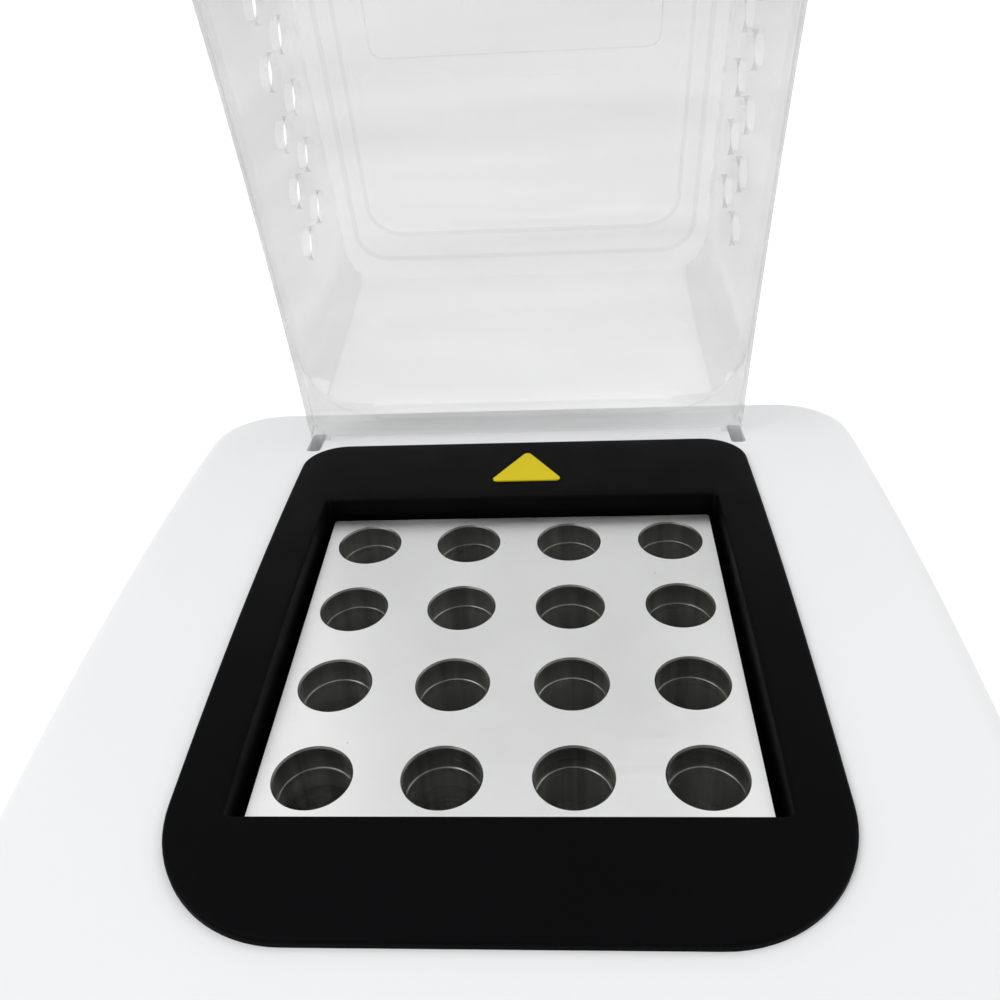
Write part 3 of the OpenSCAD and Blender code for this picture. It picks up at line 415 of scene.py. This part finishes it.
DRESS = {
    white: ["base_tray", "top_cover"],
    black: ["block_bezel"],
    clear: ["lid"],
    aluminium: ["heating_block", "block_floor"],
    yellow: ["surface_marker"],
    rubber: ["rubber_feet"],
    steel: ["foot_screws", "case_screws", "clamp_screws", "temperature_probe", "block_posts", "can_pillars",
            "hinge_pins", "display_screws", "board_screws", "inlet_pins", "inlet_screws", "switch_tabs"],
    sheet_steel: ["block_can", "clamp_plate"],
    fibre: ["insulation_floor", "insulation_jacket"],
    mica: ["heater_mat"],
    film: ["panel_overlay"],
    window_glass: ["display_window", "fuses"],
    display: ["lcd_module"],
    key_grey: ["key_up", "key_down", "key_mode"],
    key_green: ["key_start"],
    board: ["display_board", "control_board"],
    gloss_black: ["thermal_cutout", "key_switches", "triac", "power_inlet", "fuse_drawer", "switch_frame",
                  "power_rocker", "heatsink", "capacitors"],
    lens: ["status_lights"],
    coil: ["transformer"],
    relay_blue: ["relay"],
    terminal_green: ["terminal_block"],
    brown: ["mains_leads"],
    red: ["heater_leads"],
    pale: ["probe_lead", "board_pillars"],
    grey: ["display_cable"],
}
for finish, names in DRESS.items():
    finish.dress(*(nodes[name] for name in names))


# The case's upper shell


def smooth_min(a, b, k):
    h = max(k - abs(a - b), 0) / k
    return min(a, b) - h * h * k / 4


def top_height(y):
    """Height of the case's top: an arc, running softly into the sloped control panel."""
    from_middle = y - MIDDLE_Y
    arc = CROWN_Z - TOP_ARC_R + math.sqrt(TOP_ARC_R ** 2 - from_middle ** 2)
    corner = CROWN_Z - TOP_ARC_R + math.sqrt(TOP_ARC_R ** 2 - (PANEL_TOP_Y - MIDDLE_Y) ** 2)
    slope = corner + (y - PANEL_TOP_Y) * math.tan(PANEL_ANGLE)
    return smooth_min(arc, slope, 5 * MM)


def corner_rows(start, radius, count):
    """Places along Y through a rounded corner, closer together where it turns fastest."""
    return [start + radius * (1 - math.cos(math.pi / 2 * i / count)) for i in range(count)]


def half_width(y, half, y0, y1, r0, r1):
    """Half the width of a rounded rectangle at one Y."""
    if y < y0 + r0:
        return half - r0 + math.sqrt(max(r0 ** 2 - (y0 + r0 - y) ** 2, 0))
    if y > y1 - r1:
        return half - r1 + math.sqrt(max(r1 ** 2 - (y - y1 + r1) ** 2, 0))
    return half


def side_normal(y, y0, y1, r0, r1):
    """Outward normal, for the +X side, of a rounded rectangle's outline at one Y."""
    if y < y0 + r0:
        s = (y0 + r0 - y) / r0
        return Vector((math.sqrt(max(1 - s * s, 0)), -s))
    if y > y1 - r1:
        s = (y - y1 + r1) / r1
        return Vector((math.sqrt(max(1 - s * s, 0)), s))
    return Vector((1, 0))


def make_cover():
    """The upper shell: a grid over the top, a rounded edge all round it and an upright wall."""
    half, y0, y1 = HALF_W - EDGE_R, FRONT_Y + EDGE_R, REAR_Y - EDGE_R
    r0, r1 = FRONT_CORNER_R - EDGE_R, REAR_CORNER_R - EDGE_R
    corner_count = 12
    columns = 24
    front_rows = corner_rows(y0, r0, corner_count)
    rear_rows = [y1 + y0 - y for y in reversed(corner_rows(y0, r1, corner_count))]
    start, end = y0 + r0, y1 - r1
    mid_count = 70
    rows = front_rows + [start + (end - start) * i / mid_count for i in range(mid_count + 1)] + rear_rows
    verts, grid = [], []
    for y in rows:
        wide = half_width(y, half, y0, y1, r0, r1)
        row = []
        for c in range(columns + 1):
            row.append(len(verts))
            verts.append(Vector(((c / columns * 2 - 1) * wide, y, top_height(y))))
        grid.append(row)
    faces = []
    for a, b in zip(grid, grid[1:]):
        for c in range(columns):
            faces.append((a[c], a[c + 1], b[c + 1], b[c]))
    path = [(i, Vector((0, -1))) for i in grid[0][1:-1]]
    right = [(row[-1], side_normal(y, y0, y1, r0, r1)) for row, y in zip(grid, rows)]
    left = [(row[0], side_normal(y, y0, y1, r0, r1) * Vector((-1, 1))) for row, y in zip(grid, rows)]
    path = path + right + [(i, Vector((0, 1))) for i in reversed(grid[-1][1:-1])] + left[::-1]
    ring = [i for i, _ in path]
    edge_count = 10
    levels = [math.pi / 2 * i / edge_count for i in range(1, edge_count + 1)]
    for angle in levels + [None]:
        fresh = []
        for base, normal in path:
            at = verts[base]
            if angle is None:
                place = Vector((at.x + normal.x * EDGE_R, at.y + normal.y * EDGE_R, PARTING_Z))
            else:
                out = EDGE_R * math.sin(angle)
                x, y = at.x + normal.x * out, at.y + normal.y * out
                place = Vector((x, y, top_height(y) - EDGE_R * (1 - math.cos(angle))))
            fresh.append(len(verts))
            verts.append(place)
        for i in range(len(ring)):
            j = (i + 1) % len(ring)
            faces.append((ring[i], fresh[i], fresh[j], ring[j]))
        ring = fresh
    obj = mesh_object("case_cover", verts, faces)
    fix_normals(obj)
    solid = obj.modifiers.new("wall", "SOLIDIFY")
    solid.thickness = SHELL_WALL
    solid.offset = -1
    apply_modifiers(obj)
    return obj


def prism(name, outline, depth_lo, depth_hi, matrix=None):
    """A closed prism from an outline in X and Y, between two heights, optionally placed by a matrix."""
    count = len(outline)
    verts = [Vector((x, y, depth_lo)) for x, y in outline] + [Vector((x, y, depth_hi)) for x, y in outline]
    faces = [tuple(reversed(range(count))), tuple(range(count, 2 * count))]
    faces += [(i, (i + 1) % count, (i + 1) % count + count, i + count) for i in range(count)]
    obj = mesh_object(name, verts, faces)
    if matrix is not None:
        obj.data.transform(matrix)
    fix_normals(obj)
    return obj


def rounded_outline(x0, x1, y0, y1, radius, steps=6):
    """A rectangle with rounded corners, counterclockwise."""
    points = []
    for cx, cy, turn in ((x1 - radius, y0 + radius, -90), (x1 - radius, y1 - radius, 0),
                         (x0 + radius, y1 - radius, 90), (x0 + radius, y0 + radius, 180)):
        for i in range(steps + 1):
            angle = math.radians(turn + 90 * i / steps)
            points.append((cx + radius * math.cos(angle), cy + radius * math.sin(angle)))
    return points


def centred(x, y, w, l, radius):
    return rounded_outline(x - w / 2, x + w / 2, y - l / 2, y + l / 2, radius)


def circle_points(x, y, radius, count=32):
    return [(x + radius * math.cos(math.tau * i / count), y + radius * math.sin(math.tau * i / count))
            for i in range(count)]


panel_corner_z = CROWN_Z - TOP_ARC_R + math.sqrt(TOP_ARC_R ** 2 - (PANEL_TOP_Y - MIDDLE_Y) ** 2)
ON_PANEL = Matrix.Translation((0, PANEL_TOP_Y, panel_corner_z)) @ Matrix.Rotation(PANEL_ANGLE, 4, "X")
PANEL_MID = -(PANEL_TOP_Y - FRONT_Y) / math.cos(PANEL_ANGLE) / 2
OVERLAY_W, OVERLAY_L, OVERLAY_R, OVERLAY_T = 164 * MM, 62 * MM, 6 * MM, 0.8 * MM
WINDOW_X, WINDOW_W, WINDOW_L = -36 * MM, 70.6 * MM, 38.6 * MM
KEY_XS, KEY_STEP, KEY_W, KEY_L = (24 * MM, 48 * MM), 12 * MM, 18.6 * MM, 13.6 * MM
LIGHT_X, LIGHT_STEP, LIGHT_R = 70 * MM, 11 * MM, 1.8 * MM
SLOT_X0, SLOT_X1, SLOT_Y0, SLOT_Y1 = 66.1 * MM, 70.6 * MM, -3.5 * MM, 9.5 * MM
SLOT_FLOOR = HINGE.z - 4 * MM
POCKET_WALL = 1.2 * MM
OPENING = 113 * MM
BEZEL_SKIRT = 117.6 * MM
BEZEL_T, BEZEL_FRONT_R, BEZEL_REAR_R = 2 * MM, 29 * MM, 13 * MM


def slot_outline(side, grow):
    """Outline of one hinge slot, grown by a margin for the walls of its pocket."""
    x0, x1 = sorted((side * SLOT_X0, side * SLOT_X1))
    return rounded_outline(x0 - grow, x1 + grow, HINGE.y + SLOT_Y0 - grow, HINGE.y + SLOT_Y1 + grow, 1.2 * MM, 4)


def slot_pockets():
    """The closed pockets that the hinge slots open into."""
    high = top_height(HINGE.y + SLOT_Y1) - MM
    return [prism("pocket", slot_outline(side, POCKET_WALL), SLOT_FLOOR - POCKET_WALL, high) for side in (-1, 1)]


def cover_cutters():
    cutters = [prism("window_cut", centred(0, MIDDLE_Y, BEZEL_SKIRT, BEZEL_SKIRT, 3 * MM), CROWN_Z - 30 * MM,
                     CROWN_Z + 10 * MM)]
    for side in (-1, 1):
        cutters.append(prism("slot_cut", slot_outline(side, 0), SLOT_FLOOR, CROWN_Z + 10 * MM))
    cutters.append(prism("overlay_cut", centred(0, PANEL_MID, OVERLAY_W, OVERLAY_L, OVERLAY_R), -OVERLAY_T, 9 * MM,
                         ON_PANEL))
    through = (-8 * MM, 3 * MM, ON_PANEL)
    cutters.append(prism("display_cut", centred(WINDOW_X, PANEL_MID, WINDOW_W, WINDOW_L, 2 * MM), *through))
    for x in KEY_XS:
        for side in (-1, 1):
            outline = centred(x, PANEL_MID + side * KEY_STEP, KEY_W, KEY_L, 3 * MM)
            cutters.append(prism("key_cut", outline, *through))
    for i in (-1, 0, 1):
        cutters.append(prism("light_cut", circle_points(LIGHT_X, PANEL_MID + i * LIGHT_STEP, LIGHT_R), *through))
    return cutters


cover = make_cover()
unite(cover, slot_pockets())
cut(cover, cover_cutters())
shade(cover)
white.dress(cover)
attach(cover, "case")
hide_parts("top_cover")


# The bezel


def ring_outline(half, y0, y1, r0, r1, corner_steps, side_steps):
    """Points and outward normals round a rectangle with its own radius at the front and the rear."""
    out = []
    corners = ((half - r0, y0 + r0, r0, -90), (half - r1, y1 - r1, r1, 0),
               (-half + r1, y1 - r1, r1, 90), (-half + r0, y0 + r0, r0, 180))
    for k, (cx, cy, r, turn) in enumerate(corners):
        for i in range(corner_steps + 1):
            a = math.radians(turn + 90 * i / corner_steps)
            out.append((Vector((cx + r * math.cos(a), cy + r * math.sin(a))), Vector((math.cos(a), math.sin(a)))))
        nx, ny, nr, nturn = corners[(k + 1) % 4]
        a = math.radians(nturn)
        end = Vector((nx + nr * math.cos(a), ny + nr * math.sin(a)))
        begin, normal = out[-1]
        for i in range(1, side_steps):
            out.append((begin.lerp(end, i / side_steps), normal))
    return out


def arc_height(y):
    return CROWN_Z - TOP_ARC_R + math.sqrt(TOP_ARC_R ** 2 - (y - MIDDLE_Y) ** 2)


def make_bezel():
    """The black flange round the block, with soft edges, its skirt and its sunk lip."""
    outer_r, inner_r = 0.9 * MM, 0.7 * MM
    lip_top, lip_low = BLOCK_TOP - 5.4 * MM, BLOCK_TOP - 7 * MM
    lip_in = (OPENING - (block_hi.x - block_lo.x)) / 2 - 0.3 * MM
    outer = ring_outline(bezel_hi.x, bezel_lo.y, bezel_hi.y, BEZEL_FRONT_R, BEZEL_REAR_R, 20, 28)
    hole = OPENING / 2
    inner = ring_outline(hole, MIDDLE_Y - hole, MIDDLE_Y + hole, 1.6 * MM, 1.6 * MM, 20, 28)
    steps = 6
    verts, faces = [], []
    stations = []
    for (o, on), (n, nn) in zip(outer, inner):
        line = []

        def add(place, lift=None, height=None):
            z = arc_height(place.y) + lift if height is None else height
            line.append(len(verts))
            verts.append(Vector((place.x, place.y, z)))

        add(o, 0.03 * MM)
        for i in range(steps + 1):
            a = math.pi / 2 * i / steps
            add(o - on * outer_r * (1 - math.cos(a)), BEZEL_T - outer_r + outer_r * math.sin(a))
        for i in range(1, 8):
            add((o - on * outer_r).lerp(n + nn * inner_r, i / 8), BEZEL_T)
        for i in range(steps + 1):
            a = math.pi / 2 * i / steps
            add(n + nn * inner_r * (1 - math.sin(a)), BEZEL_T - inner_r + inner_r * math.cos(a))
        add(n, height=lip_top + 0.4 * MM)
        add(n - nn * 0.4 * MM, height=lip_top)
        add(n - nn * (lip_in - 0.3 * MM), height=lip_top)
        add(n - nn * lip_in, height=lip_top - 0.3 * MM)
        add(n - nn * lip_in, height=lip_low)
        add(n + nn * 2 * MM, height=lip_low)
        add(n + nn * 2 * MM, 0.03 * MM)
        stations.append(line)
    count = len(stations)
    for s in range(count):
        a, b = stations[s], stations[(s + 1) % count]
        for i in range(len(a)):
            j = (i + 1) % len(a)
            faces.append((a[i], b[i], b[j], a[j]))
    obj = mesh_object("bezel_ring", verts, faces)
    fix_normals(obj)
    shade(obj, 30)
    return obj


bezel = make_bezel()
black.dress(bezel)
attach(bezel, "case")
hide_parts("block_bezel")

# The clear hood, drawn shut about its hinge axis and then turned open

ON_LID = Matrix.Translation(HINGE) @ Matrix.Rotation(-OPEN_ANGLE, 4, "X")
lid_points = [ON_LID.inverted() @ (nodes["lid"].matrix_world @ v.co) for v in nodes["lid"].data.vertices]
LID_HALF = max(p.x for p in lid_points)
TAB_W, TAB_L, TAB_T, TAB_R = 52 * MM, 11 * MM, 2.4 * MM, 6 * MM
LID_FRONT = min(p.y for p in lid_points) + TAB_L
DECK_RISE = 1.6 * MM
LID_TOP = max(p.z for p in lid_points) - DECK_RISE
LID_REAR = -3 * MM
LID_WALL = 2.5 * MM
LID_EDGE_R = 6.5 * MM
LID_FRONT_R = 30.6 * MM
DECK_HALF, DECK_FRONT, DECK_REAR, DECK_R = 53.6 * MM, LID_FRONT + 16 * MM, -29.8 * MM, 11 * MM
RECESS_MID, RECESS_HALF_W, RECESS_HALF_L, RECESS_R = LID_FRONT + 64.7 * MM, 45 * MM, 23 * MM, 4 * MM
VENT_R, VENT_FIRST, VENT_PITCH, VENT_SHIFT = 5.25 * MM, -52.6 * MM, 18.7 * MM, 3.7 * MM
VENT_LOW, VENT_ROW_STEP = 35.2 * MM, 15 * MM
VENTS_IN_ROW = (6, 5)
ON_THE_RIM = -1
SHELF_TOP = 12 * MM
RIM_GAP = 0.3 * MM
EAR_T, EAR_R, EAR_TOP = 3.5 * MM, 3.2 * MM, 9 * MM


def rim_height(y):
    """Height of the hood's rim over the hinge axis, where it follows the case's arc."""
    return arc_height(HINGE.y + y) + RIM_GAP - HINGE.z


def hood_rows(inset):
    """Rings of points from the rim to the middle of the top, on the outer skin or one wall inside it.

    No ring lies lower than the rim, so ON_THE_RIM only has to be lower than any rim height.
    """
    t = inset
    rows = []

    def ring(level, half, front, rear, r0, r1, floor_rise):
        outline = ring_outline(half - t, front + t, rear - t, r0 - t, max(r1 - t, 1.5 * MM), 14, 16)
        rows.append([Vector((p.x, p.y, max(level, rim_height(p.y) + floor_rise))) for p, _ in outline])

    shelf = SHELF_TOP - t
    r0 = LID_FRONT_R
    ring(ON_THE_RIM, LID_HALF, LID_FRONT, LID_REAR, r0, 5 * MM, 0)
    for lift, inward, back, corner, rise in ((-0.9, 0, 0, 5, 0.3), (-0.3, 0.1, 0.3, 6, 0.6), (0, 0.2, 0.9, 8, 0.9),
                                             (0.2, 0.25, 1.1, 27, 1.2), (0.9, 0.3, 1.6, 28, 1.8)):
        ring(shelf + lift * MM, LID_HALF - inward * MM, LID_FRONT, LID_REAR - back * MM, r0, corner * MM, rise * MM)
    edge = LID_TOP - LID_EDGE_R
    count = 9

    def at(share):
        return (LID_HALF - (0.3 + 4 * share) * MM, LID_FRONT + 4.8 * MM * share, LID_REAR - (1.6 + 8.9 * share) * MM,
                r0 - 3 * MM * share, (28 - 11 * share) * MM)

    for i in range(1, count + 1):
        share = i / count
        level = shelf + 0.9 * MM + (edge - shelf - 0.9 * MM) * share
        ring(level, *at(share), 2.5 * MM)
    half, front, rear, ra, rb = at(1)
    for i in range(1, 7):
        a = math.pi / 2 * i / 6
        small = LID_EDGE_R - t
        back = small * (1 - math.cos(a))
        ring(edge + small * math.sin(a), half - back, front + back, rear - back, ra - back, rb - back, 3 * MM)
    for lift, grow in ((0.02, 1.4), (0.35, 0.8), (1.0, 0.35), (1.45, -0.1), (1.6, -0.8)):
        g = grow * MM
        ring(LID_TOP - t + lift * MM, DECK_HALF + g, DECK_FRONT - g, DECK_REAR + g, DECK_R + g, DECK_R + g, 3 * MM)
    if t == 0:
        for lift, grow in ((1.6, 0.5), (1.45, 0.1), (1.05, -0.1), (1.0, -0.6)):
            g = grow * MM
            ring(LID_TOP + lift * MM, RECESS_HALF_W + g, RECESS_MID - RECESS_HALF_L - g,
                 RECESS_MID + RECESS_HALF_L + g, RECESS_R + g, RECESS_R + g, 3 * MM)
    return rows


# The faces of these creases, and of the rim band, get the painted crease shade.
CREASES = (1, 2, 4, 19, 21, 22, 26, 27)  # rings that a crease starts from


def make_hood():
    """One closed skin from the outer and inner rings; its rim and creases take the second material, with painted shade
    along them.
    """
    outer, inner = hood_rows(0), hood_rows(LID_WALL)
    rows = outer[::-1] + inner
    verts = [p for row in rows for p in row]
    n = len(rows[0])
    faces = [tuple(range(n)), tuple(reversed(range(len(verts) - n, len(verts))))]
    for r in range(len(rows) - 1):
        for i in range(n):
            j = (i + 1) % n
            faces.append((r * n + i, r * n + j, (r + 1) * n + j, (r + 1) * n + i))
    hood = mesh_object("clear_hood", verts, faces)
    hood.data.materials.append(clear.data)
    hood.data.materials.append(clear_painted_crease_shade.data)
    # Faces of the rim band and the creases, which take the painted shade.
    painted_shade_bands = {len(outer) - 1} | {len(outer) - 2 - i for i in CREASES}
    for face in hood.data.polygons[2:]:
        face.material_index = int((face.index - 2) // n in painted_shade_bands)
    fix_normals(hood)
    return hood


def join_meshes(name, objects):
    bm = bmesh.new()
    for obj in objects:
        bm.from_mesh(obj.data)
        mesh = obj.data
        bpy.data.objects.remove(obj)
        bpy.data.meshes.remove(mesh)
    mesh = bpy.data.meshes.new(name)
    bm.to_mesh(mesh)
    bm.free()
    return new_object(name, mesh)


ACROSS = Matrix(((0, 0, 1, 0), (1, 0, 0, 0), (0, 1, 0, 0), (0, 0, 0, 1)))


def vent_cutter():
    """One round cutter through both side walls for each vent."""
    rods = []
    for row, count in enumerate(VENTS_IN_ROW):
        for i in range(count):
            y = VENT_FIRST - VENT_PITCH * i - VENT_SHIFT * row
            z = rim_height(-HINGE.y + MIDDLE_Y) + VENT_LOW + VENT_ROW_STEP * row
            rods.append(prism("vent", circle_points(y, z, VENT_R, 40), -90 * MM, 90 * MM, ACROSS))
    return join_meshes("vents", rods)


def rim_cutter():
    """The space over the bezel's flange that the hood's rim leaves free."""
    gap = RIM_GAP
    outline = ring_outline(bezel_hi.x + gap, bezel_lo.y - gap, HINGE.y, BEZEL_FRONT_R + gap, BEZEL_REAR_R + gap, 12, 24)
    low = [Vector((p.x, p.y - HINGE.y, -20 * MM)) for p, _ in outline]
    high = [Vector((p.x, p.y - HINGE.y, rim_height(p.y - HINGE.y) + BEZEL_T)) for p, _ in outline]
    n = len(outline)
    faces = [tuple(reversed(range(n)))]
    faces += [(i, (i + 1) % n, (i + 1) % n + n, i + n) for i in range(n)]
    crown = len(low) + len(high)
    faces += [(n + i, n + (i + 1) % n, crown) for i in range(n)]
    middle = Vector((0, MIDDLE_Y - HINGE.y, rim_height(MIDDLE_Y - HINGE.y)))
    cutter = mesh_object("rim_cut", low + high + [middle], faces)
    fix_normals(cutter)
    return cutter


def ears_and_tab():
    low = EAR_R - 0.02 * MM
    arc = [(low * math.cos(math.radians(a)), low * math.sin(math.radians(a))) for a in range(180, 361, 15)]
    front = LID_REAR - LID_WALL + 0.15 * MM
    rim = rim_height(front)
    outline = [(front, EAR_TOP), (front, rim), (-low, rim)] + arc + [(LID_REAR + 0.9 * MM, EAR_TOP)]
    parts = []
    for side in (-1, 1):
        x0, x1 = sorted((side * (LID_HALF - EAR_T), side * (LID_HALF - 0.05 * MM)))
        ear = prism("ear", outline, x0, x1, ACROSS)
        cut(ear, [prism("pin_hole", circle_points(0, 0, 1.56 * MM), x0 - MM, x1 + MM, ACROSS)])
        parts.append(ear)
    outline = rounded_outline(-TAB_W / 2, TAB_W / 2, LID_FRONT - TAB_L + 0.05 * MM, LID_FRONT + 1.8 * MM, TAB_R)
    tab = prism("tab", outline, BEZEL_T, BEZEL_T + TAB_T)
    for v in tab.data.vertices:
        v.co.z += rim_height(v.co.y)
    return parts + [tab]


hood = make_hood()
cut(hood, [vent_cutter(), rim_cutter()])
unite(hood, ears_and_tab())
hood.data.transform(ON_LID)
shade(hood, 40)
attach(hood, "hood")
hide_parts("lid")

# Pieces whose own CAD form is kept, with its edges rounded

for node, width, slot in (
    ("rubber_feet", 1.2, "rubber"),
    ("key_up", 0.7, "key_grey"),
    ("key_down", 0.7, "key_grey"),
    ("key_mode", 0.7, "key_grey"),
    ("key_start", 0.7, "key_green"),
    ("switch_frame", 0.5, "black_plastic"),
    ("power_rocker", 0.4, "black_plastic"),
    ("fuse_drawer", 0.4, "black_plastic"),
):
    rounded_copy(node, width * MM)

# Camera, floor and light

CAMERA_FROM_BLOCK = Vector((13.46, -188.63, 168.33)) * MM
CAMERA_RIGHT = Vector((0.99772712, 0.04329296, -0.05163642))
CAMERA_DOWN = Vector((-0.01886894, -0.55614485, -0.83087115))
CAMERA_FORWARD = Vector((-0.06468821, 0.82995701, -0.5540639))
FOCAL_IN_WIDTHS = 1.020565
SENSOR = 36


def make_camera():
    data = bpy.data.cameras.new("camera")
    data.sensor_width = SENSOR
    data.lens = FOCAL_IN_WIDTHS * SENSOR
    data.clip_start = 0.01
    data.clip_end = 20
    camera = bpy.data.objects.new("camera", data)
    bpy.context.scene.collection.objects.link(camera)
    turn = Matrix((CAMERA_RIGHT, -CAMERA_DOWN, -CAMERA_FORWARD)).transposed().to_4x4()
    camera.matrix_world = Matrix.Translation(Vector((0, MIDDLE_Y, BLOCK_TOP)) + CAMERA_FROM_BLOCK) @ turn
    bpy.context.scene.camera = camera


def background_rays(tree):
    """1 for rays that show the background itself: from the camera, or seen in gloss or through glass."""
    path = tree.nodes.new("ShaderNodeLightPath")
    total = path.outputs["Is Camera Ray"]
    for name in ("Is Glossy Ray", "Is Transmission Ray"):
        add = tree.nodes.new("ShaderNodeMath")
        add.operation = "MAXIMUM"
        tree.links.new(total, add.inputs[0])
        tree.links.new(path.outputs[name], add.inputs[1])
        total = add.outputs[0]
    return total


def make_world(light_level):
    world = bpy.data.worlds.new("studio")
    bpy.context.scene.world = world
    world.use_nodes = True
    tree = world.node_tree
    background = tree.nodes["Background"]
    background.inputs["Color"].default_value = (1, 1, 1, 1)
    strength = tree.nodes.new("ShaderNodeMapRange")
    strength.inputs["To Min"].default_value = light_level
    strength.inputs["To Max"].default_value = 1.0
    tree.links.new(background_rays(tree), strength.inputs["Value"])
    tree.links.new(strength.outputs["Result"], background.inputs["Strength"])


def make_floor():
    size = 3.0
    floor = mesh_object("floor", [(-size, -size, 0), (size, -size, 0), (size, size, 0), (-size, size, 0)],
                        [(0, 1, 2, 3)])
    made = Material("floor_white", (0.9, 0.9, 0.9), 0.9)
    made.link(made.ramp(made.noise(3), 0.85, 0.95), made.shader.inputs["Roughness"])
    glow = made.node("ShaderNodeMath")
    glow.operation = "MULTIPLY"
    glow.inputs[1].default_value = 0.4
    made.link(background_rays(made.tree), glow.inputs[0])
    made.set("Emission Color", (1, 1, 1, 1))
    made.link(glow.outputs[0], made.shader.inputs["Emission Strength"])
    made.dress(floor)


def area_light(name, place, target, size, power):
    data = bpy.data.lights.new(name, "AREA")
    data.shape = "RECTANGLE"
    data.size, data.size_y = size
    data.energy = power
    light = bpy.data.objects.new(name, data)
    bpy.context.scene.collection.objects.link(light)
    light.location = place
    light.rotation_mode = "QUATERNION"
    light.rotation_quaternion = (Vector(target) - Vector(place)).to_track_quat("-Z", "Y")


make_camera()
make_world(0.66)
make_floor()
area_light("key_light", (-0.9, -0.5, 1.5), (0, 0, 0.15), (1.0, 1.0), 9)
area_light("fill_light", (1.2, 0.3, 1.2), (0, 0, 0.15), (1.2, 1.0), 4)
bpy.context.scene.view_settings.view_transform = "Standard"
